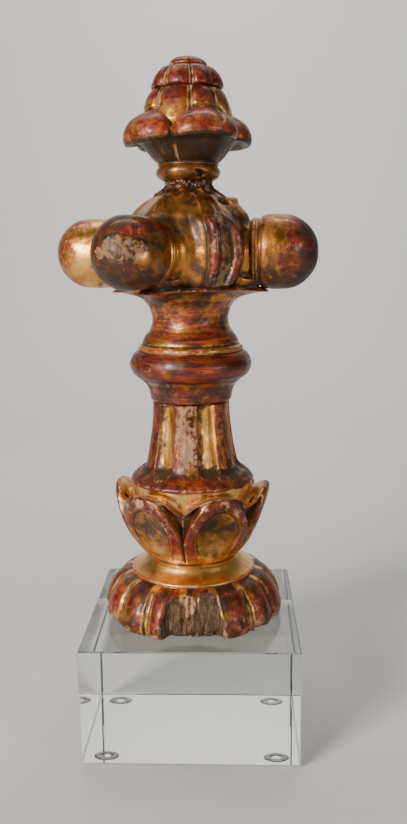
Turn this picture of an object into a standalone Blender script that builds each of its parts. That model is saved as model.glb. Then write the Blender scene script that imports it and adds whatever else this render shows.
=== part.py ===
# Giltwood finial standing on a clear acrylic block with four clear bumper feet.
# Metres, +Z up, origin on the ground under the middle of the block, front towards -Y.
# The finial is turned in five lengths, carved ring by ring, and joined into one solid.

import math

import bmesh
import bpy
from mathutils import Matrix, Vector

# Stand
BLOCK_SIDE = 0.1016
BLOCK_HEIGHT = 0.056
BLOCK_EDGE_BEVEL = 0.0006
BUMPER_DIAMETER = 0.0127
BUMPER_TOP_DIAMETER = 0.0095
BUMPER_HEIGHT = 0.002
BUMPER_EDGE_MARGIN = 0.0045
REST_GAP = 0.0003

# Foot
FOOT_CONTACT_RADIUS = 0.0429
FOOT_RADIUS = 0.0444
FOOT_HEIGHT = 0.0214
FOOT_RING_RADIUS = 0.0308
GADROON_COUNT = 15
GADROON_DEPTH = 0.0028
WORN_FRONT_ANGLE = -5.0
WORN_FRONT_HALF_WIDTH = 25.0
WORN_FRONT_DEPTH = 0.0062

# Cove, leaf cup and flange
WAIST_RADIUS = 0.0226
WAIST_HEIGHT = 0.0305
LEAF_COUNT = 6
LEAF_TURN = 24.2
LEAF_RADIUS = 0.0378
LEAF_TIP_HEIGHT = 0.0662
LEAF_ARCH_DROP = 0.0100
LEAF_HOLLOW_DEPTH = 0.0036
LEAF_VALLEY_DEPTH = 0.0042
FLANGE_RADIUS = 0.0299
FLANGE_HEIGHT = 0.0677

# Fluted shaft
CHANNEL_COUNT = 6
SHAFT_BASE_RADIUS = 0.0210
SHAFT_TOP_RADIUS = 0.0185
SHAFT_BASE_HEIGHT = 0.0790
SHAFT_TOP_HEIGHT = 0.1072
CHANNEL_DEPTH = 0.0024

# Bead and scotia
BEAD_RADIUS = 0.0293
BEAD_HEIGHT = 0.1248
SCOTIA_RADIUS = 0.0182
SCOTIA_HEIGHT = 0.1455

# Knop
KNOP_HEIGHT = 0.1767
KNOP_TURN = 27.0
KNOP_RADIUS = 0.0305
KNOP_HALF_HEIGHT = 0.0158
PLATE_RADIUS = 0.0275
PLATE_LOBE = 0.0100
STRAP_TURN = 31.5
STRAP_RISE = 0.0034
STRAP_HALF_ANGLE = 15.5
SHOULDER_RADIUS = 0.0256
SHOULDER_HEIGHT = 0.1930
HIP_COUNT = 6
HIP_RISE = 0.0034
NECK_RADIUS = 0.0106
NECK_HEIGHT = 0.2072
ARM_NECK_RADIUS = 0.0141
ARM_RING_REACH = 0.0312
# Turn from the strap, ball radius and reach of each ball-ended arm
ARMS = (
    (60.0, 0.0172, 0.0604),
    (120.0, 0.0165, 0.0612),
    (240.0, 0.0160, 0.0626),
    (300.0, 0.0161, 0.0606),
)

# Bud
COLLAR_RADIUS = 0.0149
COLLAR_HEIGHT = 0.2127
CALYX_RADIUS = 0.0206
CALYX_HEIGHT = 0.2246
PETAL_COUNT = 4
PETAL_TURN = 30.0
PETAL_REACH = 0.0303
SCALE_COUNT = 8
SCALE_GROOVE = 0.0013
LOWER_TIER_TURN = 26.5
UPPER_TIER_TURN = 32.5
LOWER_TIER_RADIUS = 0.0196
UPPER_TIER_RADIUS = 0.0159
CAP_RADIUS = 0.0088
BUD_TOP = 0.2636

# Facets round each turned length
FOOT_FACETS = 75
STEM_FACETS = 60
BEAD_FACETS = 36
KNOP_FACETS = 72
BUD_FACETS = 48
ARM_FACETS = 14

SINK = 0.0015

BASE_HEIGHT = BUMPER_HEIGHT + REST_GAP + BLOCK_HEIGHT + REST_GAP


def clear_scene():
    """Start from an empty scene."""
    for item in list(bpy.data.objects):
        bpy.data.objects.remove(item, do_unlink=True)


def new_collection(name):
    """A collection linked to the scene."""
    collection = bpy.data.collections.new(name)
    bpy.context.scene.collection.children.link(collection)
    return collection


def new_material(name, color, roughness, metallic, alpha=1.0):
    """A Principled material."""
    material = bpy.data.materials.new(name)
    material.use_nodes = True
    shader = material.node_tree.nodes["Principled BSDF"]
    shader.inputs["Base Color"].default_value = (*color, 1.0)
    shader.inputs["Roughness"].default_value = roughness
    shader.inputs["Metallic"].default_value = metallic
    shader.inputs["Alpha"].default_value = alpha
    material.diffuse_color = (*color, alpha)
    return material


def smooth(value):
    """Ease from 0 to 1."""
    value = min(max(value, 0.0), 1.0)
    return value * value * (3.0 - 2.0 * value)


def offset_angle(beta, centre, spacing=360.0):
    """Signed angle in degrees from beta to the nearest of the centres spaced around the axis."""
    return (beta - centre + spacing / 2.0) % spacing - spacing / 2.0


def mix(start, end, share):
    """A value between start and end."""
    return start + (end - start) * share


def ring(radius, height):
    """A plain turned ring."""
    return lambda beta: (radius, height)


def blank_mesh(name, stations, facets):
    """Turn the stations' front outline into a closed blank with a Screw modifier.

    Each vertex keeps the number of its station, for the carving."""
    outline = bpy.data.meshes.new(name + "_outline")
    points = [station(0.0) for station in reversed(stations)]
    vertices = [(radius, 0.0, height) for radius, height in points]
    edges = [(index, index + 1) for index in range(len(points) - 1)]
    outline.from_pydata(vertices, edges, [])
    numbers = outline.attributes.new("station", "INT", "POINT")
    numbers.data.foreach_set("value", list(range(len(stations) - 1, -1, -1)))
    blank = bpy.data.objects.new(name + "_blank", outline)
    bpy.context.scene.collection.objects.link(blank)
    screw = blank.modifiers.new("turn", "SCREW")
    screw.axis = "Z"
    screw.angle = 2.0 * math.pi
    screw.steps = facets
    screw.render_steps = facets
    screw.use_merge_vertices = True
    screw.merge_threshold = 0.00001
    evaluated = blank.evaluated_get(bpy.context.evaluated_depsgraph_get())
    mesh = bpy.data.meshes.new_from_object(evaluated)
    bpy.data.objects.remove(blank, do_unlink=True)
    bpy.data.meshes.remove(outline)
    mesh.name = name
    return mesh


def turned_length(name, stations, facets, turn, collection):
    """A turned length whose rings are carved by their stations' rules."""
    mesh = blank_mesh(name, stations, facets)
    numbers = mesh.attributes["station"].data
    start = math.radians(turn)
    for vertex in mesh.vertices:
        station = stations[numbers[vertex.index].value]
        around = math.atan2(vertex.co.y, vertex.co.x) + start
        beta = math.degrees(around) + 90.0
        radius, height = station(beta)
        if vertex.co.xy.length < SINK / 100.0:
            radius = 0.0
        vertex.co = (radius * math.cos(around), radius * math.sin(around), height)
    mesh.attributes.remove(mesh.attributes["station"])
    mesh.shade_smooth()
    length = bpy.data.objects.new(name, mesh)
    collection.objects.link(length)
    return length


def worn_front(beta, height):
    """Depth of wood broken away at the front of the foot."""
    across = abs(offset_angle(beta, WORN_FRONT_ANGLE)) / WORN_FRONT_HALF_WIDTH
    return WORN_FRONT_DEPTH * smooth((1.0 - across) * 3.0) * smooth(1.15 - height / FOOT_HEIGHT)


def gadroon_ring(radius, height, depth_share):
    """A ring of the foot, with round gadroons and flat channels between them."""
    spacing = 360.0 / GADROON_COUNT
    seam = LEAF_TURN - 180.0 / LEAF_COUNT

    def rule(beta):
        across = abs(offset_angle(beta, seam, spacing)) / (spacing / 2.0)
        lobe = math.sin(math.pi / 2.0 * smooth((across - 0.12) / 0.6))
        depth = GADROON_DEPTH * depth_share * (1.0 - lobe)
        worn = worn_front(beta, height)
        return radius - max(depth, worn), height

    return rule


def foot_stations():
    """Gadrooned foot, from its flat underside to the ring on top."""
    rise = FOOT_HEIGHT
    spread = FOOT_RADIUS - FOOT_RING_RADIUS
    return [
        ring(0.0, 0.0),
        gadroon_ring(FOOT_CONTACT_RADIUS, 0.0, 0.7),
        gadroon_ring(FOOT_RADIUS, 0.18 * rise, 1.0),
        gadroon_ring(FOOT_RING_RADIUS + 0.93 * spread, 0.44 * rise, 1.0),
        gadroon_ring(FOOT_RING_RADIUS + 0.72 * spread, 0.70 * rise, 0.85),
        gadroon_ring(FOOT_RING_RADIUS + 0.42 * spread, 0.90 * rise, 0.55),
        gadroon_ring(FOOT_RING_RADIUS + 0.10 * spread, rise, 0.2),
        ring(0.8 * WAIST_RADIUS, rise + SINK),
        ring(0.0, rise + SINK),
    ]


def leaf_offset(beta):
    """0 in the middle of a leaf, -1 and 1 at the seams beside it."""
    spacing = 360.0 / LEAF_COUNT
    return offset_angle(beta, LEAF_TURN, spacing) / (spacing / 2.0)


def leaf_lip_height(across):
    """Height of the arched lip of a leaf."""
    return LEAF_TIP_HEIGHT - LEAF_ARCH_DROP * abs(across) ** 2.4


def cup_radius(height):
    """Radius of the leaf cup's rims at a height, from the waist to the tips."""
    share = (height - WAIST_HEIGHT) / (LEAF_TIP_HEIGHT - WAIST_HEIGHT)
    share = min(max(share, 0.0), 1.0)
    swell = 1.0 - (1.0 - share) ** 2.5
    return mix(WAIST_RADIUS, LEAF_RADIUS, 0.94 * swell + 0.06 * share ** 3)


def leaf_face(share):
    """A ring up the outer face of the leaves, share 0 at the waist and 1 at the lip."""

    def rule(beta):
        across = abs(leaf_offset(beta))
        height = mix(WAIST_HEIGHT, leaf_lip_height(across), share)
        hollow = smooth((0.72 - across) / 0.34) * smooth((0.95 - share) / 0.22) * smooth(share / 0.2)
        valley = max(across - 0.74, 0.0) / 0.26
        depth = LEAF_HOLLOW_DEPTH * hollow + LEAF_VALLEY_DEPTH * smooth(share / 0.2) * valley ** 1.4
        return cup_radius(height) - depth, height

    return rule


def leaf_back(share, drop):
    """A ring from the lip of the leaves back to the body, share 0 at the lip and 1 at the body."""

    def rule(beta):
        across = abs(leaf_offset(beta))
        lip = leaf_lip_height(across)
        lip_radius = cup_radius(lip) - LEAF_VALLEY_DEPTH * (max(across - 0.74, 0.0) / 0.26) ** 1.4
        body_radius = min(FLANGE_RADIUS - 0.0008, lip_radius - 0.0004)
        height = lip - drop * (1.0 - across ** 4) + 0.0006 * share
        return mix(lip_radius, body_radius, share), height

    return rule


def channel_share(beta):
    """1 in the middle of a shaft channel, 0 on the flats between the channels."""
    spacing = 360.0 / CHANNEL_COUNT
    across = abs(offset_angle(beta, LEAF_TURN, spacing)) / (spacing / 4.0)
    return math.sqrt(max(1.0 - across * across, 0.0))


def channel_ring(radius, height, depth_share):
    """A ring of the shaft, hollowed by the channels."""

    def rule(beta):
        return radius - CHANNEL_DEPTH * depth_share * channel_share(beta), height

    return rule


def stem_stations():
    """Cove above the foot, leaf cup, flange and fluted shaft."""
    cove = WAIST_HEIGHT - FOOT_HEIGHT
    shaft = SHAFT_TOP_HEIGHT - SHAFT_BASE_HEIGHT
    return [
        ring(0.0, FOOT_HEIGHT - 2.0 * SINK),
        ring(0.7 * WAIST_RADIUS, FOOT_HEIGHT - 2.0 * SINK),
        ring(FOOT_RING_RADIUS - 0.0012, FOOT_HEIGHT - 0.0002),
        ring(FOOT_RING_RADIUS, FOOT_HEIGHT + 0.0012),
        ring(FOOT_RING_RADIUS - 0.0012, FOOT_HEIGHT + 0.24 * cove),
        ring(WAIST_RADIUS + 0.0026, FOOT_HEIGHT + 0.52 * cove),
        ring(WAIST_RADIUS + 0.0004, FOOT_HEIGHT + 0.84 * cove),
        ring(WAIST_RADIUS - 0.0010, WAIST_HEIGHT - 0.0003),
        leaf_face(0.06),
        leaf_face(0.22),
        leaf_face(0.42),
        leaf_face(0.64),
        leaf_face(0.84),
        leaf_face(1.0),
        leaf_back(0.35, -0.0003),
        leaf_back(1.0, 0.0021),
        ring(FLANGE_RADIUS, FLANGE_HEIGHT),
        ring(FLANGE_RADIUS - 0.0006, FLANGE_HEIGHT + 0.0018),
        ring(FLANGE_RADIUS - 0.0030, FLANGE_HEIGHT + 0.0045),
        channel_ring(SHAFT_BASE_RADIUS + 0.0017, FLANGE_HEIGHT + 0.0078, 0.3),
        channel_ring(SHAFT_BASE_RADIUS, SHAFT_BASE_HEIGHT, 1.0),
        channel_ring(mix(SHAFT_BASE_RADIUS, SHAFT_TOP_RADIUS, 0.55), SHAFT_BASE_HEIGHT + 0.4 * shaft, 1.0),
        channel_ring(SHAFT_TOP_RADIUS, SHAFT_BASE_HEIGHT + 0.85 * shaft, 1.0),
        channel_ring(SHAFT_TOP_RADIUS, SHAFT_TOP_HEIGHT, 0.45),
        ring(0.8 * SHAFT_TOP_RADIUS, SHAFT_TOP_HEIGHT + 2.0 * SINK),
        ring(0.0, SHAFT_TOP_HEIGHT + 2.0 * SINK),
    ]


def bead_stations():
    """Cavetto, bead and scotia between the shaft and the knop."""
    under = BEAD_HEIGHT - SHAFT_TOP_HEIGHT
    over = SCOTIA_HEIGHT - BEAD_HEIGHT
    return [
        ring(0.0, SHAFT_TOP_HEIGHT),
        ring(SHAFT_TOP_RADIUS + 0.0004, SHAFT_TOP_HEIGHT),
        ring(SHAFT_TOP_RADIUS + 0.0018, SHAFT_TOP_HEIGHT + 0.26 * under),
        ring(BEAD_RADIUS - 0.0051, SHAFT_TOP_HEIGHT + 0.57 * under),
        ring(BEAD_RADIUS - 0.0039, BEAD_HEIGHT - 0.0060),
        ring(BEAD_RADIUS - 0.0009, BEAD_HEIGHT - 0.0032),
        ring(BEAD_RADIUS, BEAD_HEIGHT),
        ring(BEAD_RADIUS - 0.0015, BEAD_HEIGHT + 0.0042),
        ring(BEAD_RADIUS - 0.0046, BEAD_HEIGHT + 0.0068),
        ring(BEAD_RADIUS - 0.0056, BEAD_HEIGHT + 0.49 * over),
        ring(SCOTIA_RADIUS + 0.0022, BEAD_HEIGHT + 0.69 * over),
        ring(SCOTIA_RADIUS, SCOTIA_HEIGHT),
        ring(SCOTIA_RADIUS + 0.0014, SCOTIA_HEIGHT + 0.0065),
        ring(SCOTIA_RADIUS + 0.0042, SCOTIA_HEIGHT + 0.0096),
        ring(SCOTIA_RADIUS, SCOTIA_HEIGHT + 0.0130),
        ring(0.0, SCOTIA_HEIGHT + 0.0130),
    ]


def arm_share(beta):
    """1 in line with an arm of the knop, 0 between the arms."""
    nearest = min(abs(offset_angle(beta, KNOP_TURN + arm[0])) for arm in ARMS)
    return smooth(1.0 - nearest / 30.0)


def strap_rise(beta):
    """Height of the two ribs of a strap above the knop, with a groove between them."""
    across = abs(offset_angle(beta, STRAP_TURN, 180.0)) / STRAP_HALF_ANGLE
    return STRAP_RISE * smooth(across / 0.33) * smooth((1.0 - across) / 0.33)


def plate_ring(height, share):
    """A ring of the thin plate under the knop, wider below each arm."""

    def rule(beta):
        lobe = arm_share(beta)
        radius = mix(SCOTIA_RADIUS + 0.0030, PLATE_RADIUS + PLATE_LOBE * lobe, share)
        return radius, height - 0.0012 * lobe * share

    return rule


def knop_ring(radius, height, strap_share, hip_share=0.0):
    """A ring of the knop, with the straps standing proud and hips up the shoulder over the arms."""
    spacing = 360.0 / HIP_COUNT

    def rule(beta):
        across = abs(offset_angle(beta, KNOP_TURN, spacing)) / (spacing / 2.0)
        hip = HIP_RISE * hip_share * smooth(1.0 - across / 0.85)
        return radius + hip + strap_share * strap_rise(beta), height

    return rule


def knop_foot_ring(radius, height):
    """Lowest ring of the knop, reaching out under each arm to fill the corner above the plate."""

    def rule(beta):
        lobe = arm_share(beta)
        rise = 0.6 * strap_rise(beta)
        return radius + rise + 0.8 * PLATE_LOBE * lobe, height + 0.1 * KNOP_HALF_HEIGHT * lobe

    return rule


def knop_stations():
    """Plate, knop with its straps, shoulder and neck."""
    low = KNOP_HEIGHT - KNOP_HALF_HEIGHT
    slope = NECK_HEIGHT - SHOULDER_HEIGHT
    spread = SHOULDER_RADIUS - NECK_RADIUS
    return [
        ring(0.0, SCOTIA_HEIGHT + 0.0090),
        ring(SCOTIA_RADIUS + 0.0018, SCOTIA_HEIGHT + 0.0090),
        plate_ring(low - 0.0032, 0.30),
        plate_ring(low - 0.0012, 1.0),
        plate_ring(low - 0.0002, 1.0),
        knop_foot_ring(KNOP_RADIUS - 0.0050, low + 0.0008),
        knop_ring(KNOP_RADIUS - 0.0014, KNOP_HEIGHT - 0.55 * KNOP_HALF_HEIGHT, 1.0),
        knop_ring(KNOP_RADIUS, KNOP_HEIGHT + 0.05 * KNOP_HALF_HEIGHT, 1.0),
        knop_ring(KNOP_RADIUS - 0.0014, KNOP_HEIGHT + 0.60 * KNOP_HALF_HEIGHT, 1.0, 0.3),
        knop_ring(SHOULDER_RADIUS, SHOULDER_HEIGHT, 0.6, 0.9),
        knop_ring(NECK_RADIUS + 0.60 * spread, SHOULDER_HEIGHT + 0.44 * slope, 0.3, 0.9),
        knop_ring(NECK_RADIUS + 0.25 * spread, SHOULDER_HEIGHT + 0.76 * slope, 0.1, 0.3),
        ring(NECK_RADIUS, NECK_HEIGHT),
        ring(NECK_RADIUS, COLLAR_HEIGHT),
        ring(0.0, COLLAR_HEIGHT),
    ]


def petal_ring(reach_share, height, valley_share):
    """A ring of the curled petals, drawn in and lifted at the valleys between them."""
    spacing = 360.0 / PETAL_COUNT

    def rule(beta):
        across = abs(offset_angle(beta, PETAL_TURN, spacing)) / (spacing / 2.0)
        out = smooth((1.0 - across) / 0.55)
        reach = mix(CALYX_RADIUS, PETAL_REACH, reach_share)
        valley = mix(CALYX_RADIUS, PETAL_REACH, valley_share)
        return mix(valley, reach, out), height + 0.0022 * (1.0 - out) * (1.0 - valley_share)

    return rule


def scale_ring(radius, height, turn, groove_share):
    """A ring of a tier of rounded scales with narrow grooves between them."""
    spacing = 360.0 / SCALE_COUNT

    def rule(beta):
        across = abs(offset_angle(beta, turn, spacing)) / (spacing / 2.0)
        return radius - SCALE_GROOVE * groove_share * across ** 3, height

    return rule


def bud_stations():
    """Collar, calyx, curled petals, two tiers of scales and the cap."""
    lower = UPPER_TIER_RADIUS - 0.0009
    return [
        ring(0.0, COLLAR_HEIGHT - 0.0035),
        ring(COLLAR_RADIUS - 0.0032, COLLAR_HEIGHT - 0.0035),
        ring(COLLAR_RADIUS - 0.0010, COLLAR_HEIGHT - 0.0022),
        ring(COLLAR_RADIUS, COLLAR_HEIGHT),
        ring(COLLAR_RADIUS - 0.0008, COLLAR_HEIGHT + 0.0028),
        ring(COLLAR_RADIUS + 0.0012, COLLAR_HEIGHT + 0.0058),
        ring(CALYX_RADIUS, CALYX_HEIGHT),
        petal_ring(0.75, CALYX_HEIGHT + 0.0001, 0.04),
        petal_ring(1.0, CALYX_HEIGHT + 0.0030, 0.16),
        petal_ring(0.90, CALYX_HEIGHT + 0.0072, 0.14),
        petal_ring(0.52, CALYX_HEIGHT + 0.0112, 0.02),
        ring(LOWER_TIER_RADIUS + 0.0001, CALYX_HEIGHT + 0.0146),
        scale_ring(LOWER_TIER_RADIUS, CALYX_HEIGHT + 0.0164, LOWER_TIER_TURN, 1.0),
        scale_ring(LOWER_TIER_RADIUS - 0.0014, CALYX_HEIGHT + 0.0204, LOWER_TIER_TURN, 1.0),
        scale_ring(lower, CALYX_HEIGHT + 0.0246, LOWER_TIER_TURN, 0.4),
        scale_ring(UPPER_TIER_RADIUS, CALYX_HEIGHT + 0.0254, UPPER_TIER_TURN, 1.0),
        scale_ring(UPPER_TIER_RADIUS - 0.0011, CALYX_HEIGHT + 0.0295, UPPER_TIER_TURN, 1.0),
        scale_ring(CAP_RADIUS + 0.0026, CALYX_HEIGHT + 0.0332, UPPER_TIER_TURN, 0.6),
        ring(CAP_RADIUS - 0.0010, CALYX_HEIGHT + 0.0344),
        ring(CAP_RADIUS, CALYX_HEIGHT + 0.0352),
        ring(0.72 * CAP_RADIUS, BUD_TOP - 0.0014),
        ring(0.0, BUD_TOP),
    ]


def arm_length(index, arm, collection):
    """A ball-ended arm, turned upright and then laid out from the middle of the knop."""
    turn, ball, reach = arm
    root = ARM_RING_REACH
    stations = [
        ring(0.0, 0.012),
        ring(ARM_NECK_RADIUS - 0.0020, 0.012),
        ring(ARM_NECK_RADIUS, root - 0.0030),
        ring(ball - 0.0010, root - 0.0008),
        ring(ball - 0.0014, root + 0.0010),
        ring(ball - 0.0004, root + 0.0048),
        ring(ball, reach - 0.98 * ball),
        ring(0.86 * ball, reach - 0.46 * ball),
        ring(0.50 * ball, reach - 0.13 * ball),
        ring(0.0, reach),
    ]
    length = turned_length(f"arm_{index}", stations, ARM_FACETS, 0.0, collection)
    beta = math.radians(KNOP_TURN + turn)
    outward = Vector((math.sin(beta), -math.cos(beta), 0.0))
    lay = outward.to_track_quat("Z", "Y").to_matrix().to_4x4()
    length.data.transform(Matrix.Translation((0.0, 0.0, KNOP_HEIGHT)) @ lay)
    return length


def build_finial(parts, blanks, material):
    """Join the carved lengths and the arms into the one solid of the finial."""
    knop = turned_length("knop", knop_stations(), KNOP_FACETS, KNOP_TURN, parts)
    joined = [arm_length(index, arm, blanks) for index, arm in enumerate(ARMS)]
    joined.append(turned_length("bead", bead_stations(), BEAD_FACETS, 0.0, blanks))
    stem_turn = LEAF_TURN
    joined.append(turned_length("stem", stem_stations(), STEM_FACETS, stem_turn, blanks))
    seam_turn = LEAF_TURN - 180.0 / LEAF_COUNT
    joined.append(turned_length("base", foot_stations(), FOOT_FACETS, seam_turn, blanks))
    joined.append(turned_length("bud", bud_stations(), BUD_FACETS, LOWER_TIER_TURN, blanks))
    for length in joined:
        length.hide_render = True
        length.display_type = "WIRE"
        length.location.z = BASE_HEIGHT
        union = knop.modifiers.new("join " + length.name, "BOOLEAN")
        union.operation = "UNION"
        union.solver = "EXACT"
        union.object = length
    knop.location.z = BASE_HEIGHT
    knop.name = "finial"
    knop.data.name = "finial"
    knop.data.materials.append(material)
    return knop


def build_block(parts, material):
    """The acrylic block, with its edges just broken."""
    bpy.ops.mesh.primitive_cube_add(size=1.0)
    block = bpy.context.object
    block.name = "acrylic_block"
    block.data.transform(Matrix.Diagonal((BLOCK_SIDE, BLOCK_SIDE, BLOCK_HEIGHT, 1.0)))
    block.location.z = BUMPER_HEIGHT + REST_GAP + BLOCK_HEIGHT / 2.0
    bevel = block.modifiers.new("broken edges", "BEVEL")
    bevel.width = BLOCK_EDGE_BEVEL
    bevel.segments = 1
    block.data.materials.append(material)
    move_to(block, parts)
    return block


def build_bumpers(parts, material):
    """Four low clear feet, one under each corner of the block."""
    inset = BLOCK_SIDE / 2.0 - BUMPER_EDGE_MARGIN - BUMPER_DIAMETER / 2.0
    places = {
        "foot_front_left": (-inset, -inset),
        "foot_front_right": (inset, -inset),
        "foot_back_left": (-inset, inset),
        "foot_back_right": (inset, inset),
    }
    for name, (across, along) in places.items():
        mesh = bpy.data.meshes.new(name)
        shape = bmesh.new()
        bmesh.ops.create_cone(
            shape,
            cap_ends=True,
            segments=24,
            radius1=BUMPER_TOP_DIAMETER / 2.0,
            radius2=BUMPER_DIAMETER / 2.0,
            depth=BUMPER_HEIGHT,
        )
        shape.to_mesh(mesh)
        shape.free()
        mesh.materials.append(material)
        foot = bpy.data.objects.new(name, mesh)
        foot.location = (across, along, BUMPER_HEIGHT / 2.0)
        parts.objects.link(foot)


def move_to(item, collection):
    """Take an object out of its collections and put it in one."""
    for old in list(item.users_collection):
        old.objects.unlink(item)
    collection.objects.link(item)


clear_scene()
object_parts = new_collection("giltwood_finial")
joined_lengths = new_collection("joined_lengths")
gilding = new_material("gilding", (0.48, 0.22, 0.08), 0.35, 0.6)
acrylic = new_material("acrylic", (0.93, 0.96, 0.95), 0.03, 0.0, 0.25)
bumper = new_material("bumper", (0.85, 0.87, 0.86), 0.25, 0.0, 0.5)
build_finial(object_parts, joined_lengths, gilding)
build_block(object_parts, acrylic)
build_bumpers(object_parts, bumper)
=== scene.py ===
import math

import bpy
import numpy as np
from mathutils import Matrix, Vector
from mathutils.kdtree import KDTree


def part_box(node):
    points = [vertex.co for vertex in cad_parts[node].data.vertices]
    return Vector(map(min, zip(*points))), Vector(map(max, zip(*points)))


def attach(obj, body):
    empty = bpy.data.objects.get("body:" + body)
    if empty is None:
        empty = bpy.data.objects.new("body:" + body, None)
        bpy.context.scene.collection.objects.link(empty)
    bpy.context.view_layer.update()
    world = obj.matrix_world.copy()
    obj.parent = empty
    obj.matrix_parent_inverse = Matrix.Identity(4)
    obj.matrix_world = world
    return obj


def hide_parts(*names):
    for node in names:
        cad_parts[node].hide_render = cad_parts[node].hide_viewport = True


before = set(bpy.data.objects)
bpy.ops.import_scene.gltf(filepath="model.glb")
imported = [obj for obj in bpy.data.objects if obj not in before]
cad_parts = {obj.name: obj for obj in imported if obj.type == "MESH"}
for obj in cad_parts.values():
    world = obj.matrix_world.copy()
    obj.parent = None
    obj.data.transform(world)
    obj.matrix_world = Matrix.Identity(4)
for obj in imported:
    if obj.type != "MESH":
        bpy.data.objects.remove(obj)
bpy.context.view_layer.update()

_, block_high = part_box("acrylic_block")
finial_low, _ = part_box("finial")

# Studio: a pale floor, soft window-like lights and the camera.
# The camera stands level with the knop, about 40 cm from the finial, looking a little down.
bpy.ops.object.select_all(action="DESELECT")
BLOCK_TOP = block_high.z
CAMERA_PLACE = (0.0204, -0.3927, BLOCK_TOP + 0.1754)
CAMERA_YAW, CAMERA_PITCH, CAMERA_ROLL = -2.12, 10.77, -0.60
PICTURE_HEIGHT = 824.0
FOCAL_PIXELS = 820.0
SENSOR = 36.0

bpy.ops.mesh.primitive_plane_add(size=5.0, location=(0.0, -1.1, 0.0))
floor = bpy.context.object
floor.name = "floor"


def pick_far_edge():
    """Selects only the edge of the floor that lies at its far end."""
    mesh = floor.data
    for corner in mesh.vertices:
        corner.select = corner.co.y > 0.0 and corner.co.z < 0.1
    for edge in mesh.edges:
        edge.select = all(mesh.vertices[index].select for index in edge.vertices)
    for face in mesh.polygons:
        face.select = False
    bpy.ops.object.mode_set(mode="EDIT")


pick_far_edge()
bpy.ops.mesh.select_mode(type="EDGE")
bpy.ops.mesh.extrude_region_move(TRANSFORM_OT_translate={"value": (0.0, 0.0, 2.6)})
bpy.ops.object.mode_set(mode="OBJECT")
pick_far_edge()
bpy.ops.mesh.bevel(offset=0.7, segments=16)
bpy.ops.object.mode_set(mode="OBJECT")
bpy.ops.object.transform_apply(location=True)
floor.data.shade_smooth()
floor_paint = bpy.data.materials.new("pale_floor")
floor_paint.use_nodes = True
floor_shader = floor_paint.node_tree.nodes["Principled BSDF"]
floor_shader.inputs["Base Color"].default_value = (0.66, 0.65, 0.63, 1.0)
floor_shader.inputs["Roughness"].default_value = 0.8
floor.data.materials.append(floor_paint)

world = bpy.data.worlds.new("studio")
bpy.context.scene.world = world
world.use_nodes = True
world.node_tree.nodes["Background"].inputs["Color"].default_value = (0.62, 0.64, 0.62, 1.0)
world.node_tree.nodes["Background"].inputs["Strength"].default_value = 0.16

STUDIO_LIGHTS = (
    ("window_left", (-0.60, -0.75, 0.50), 0.34, 14.5, (1.0, 0.96, 0.90)),
    ("window_right", (0.72, -0.62, 0.30), 0.24, 1.9, (1.0, 0.97, 0.93)),
    ("back_wall", (0.0, 0.45, 1.20), 0.90, 16.0, (1.0, 0.99, 0.97)),
)
for light_name, place, size, power, tint in STUDIO_LIGHTS:
    lamp = bpy.data.lights.new(light_name, "AREA")
    lamp.size = size
    lamp.energy = power
    lamp.color = tint
    light = bpy.data.objects.new(light_name, lamp)
    light.location = place
    aim = Vector((0.0, 0.0, 0.20)) - Vector(place)
    if light_name == "back_wall":
        aim = Vector((0.0, 1.4, 0.5)) - Vector(place)
    light.rotation_euler = aim.to_track_quat("-Z", "Y").to_euler()
    bpy.context.scene.collection.objects.link(light)

camera_data = bpy.data.cameras.new("camera")
camera_data.sensor_width = SENSOR
camera_data.lens = SENSOR * FOCAL_PIXELS / PICTURE_HEIGHT
camera_data.clip_start = 0.02
camera = bpy.data.objects.new("camera", camera_data)
yaw, pitch, roll = (math.radians(a) for a in (CAMERA_YAW, CAMERA_PITCH, CAMERA_ROLL))
look = Vector((math.sin(yaw) * math.cos(pitch), math.cos(yaw) * math.cos(pitch), -math.sin(pitch)))
level = Vector((math.cos(yaw), -math.sin(yaw), 0.0))
upright = level.cross(look)
right = level * math.cos(roll) + upright * math.sin(roll)
up = upright * math.cos(roll) - level * math.sin(roll)
turn = Matrix((right, up, -look)).transposed().to_4x4()
camera.matrix_world = Matrix.Translation(CAMERA_PLACE) @ turn
bpy.context.scene.collection.objects.link(camera)
bpy.context.scene.camera = camera


# Rubbed water gilding: gold leaf over red bole over white gesso on carved wood.
# Worn ridges show the bole, worse wear shows gesso, hollows keep bright gold or dark grime.
# The dark mask also paints shade in creases, under things and on shaded sides, and the gold mask also
# paints highlights.
FINISH = ("bole", "gold", "gesso", "grime", "bare", "turned")


def new_group(name, inputs, outputs):
    """An empty shader group with the given input and output sockets."""
    group = bpy.data.node_groups.new(name, "ShaderNodeTree")
    for label, kind, value in inputs:
        socket = group.interface.new_socket(name=label, in_out="INPUT", socket_type=kind)
        socket.default_value = value
    for label, kind in outputs:
        group.interface.new_socket(name=label, in_out="OUTPUT", socket_type=kind)
    return group


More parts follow.
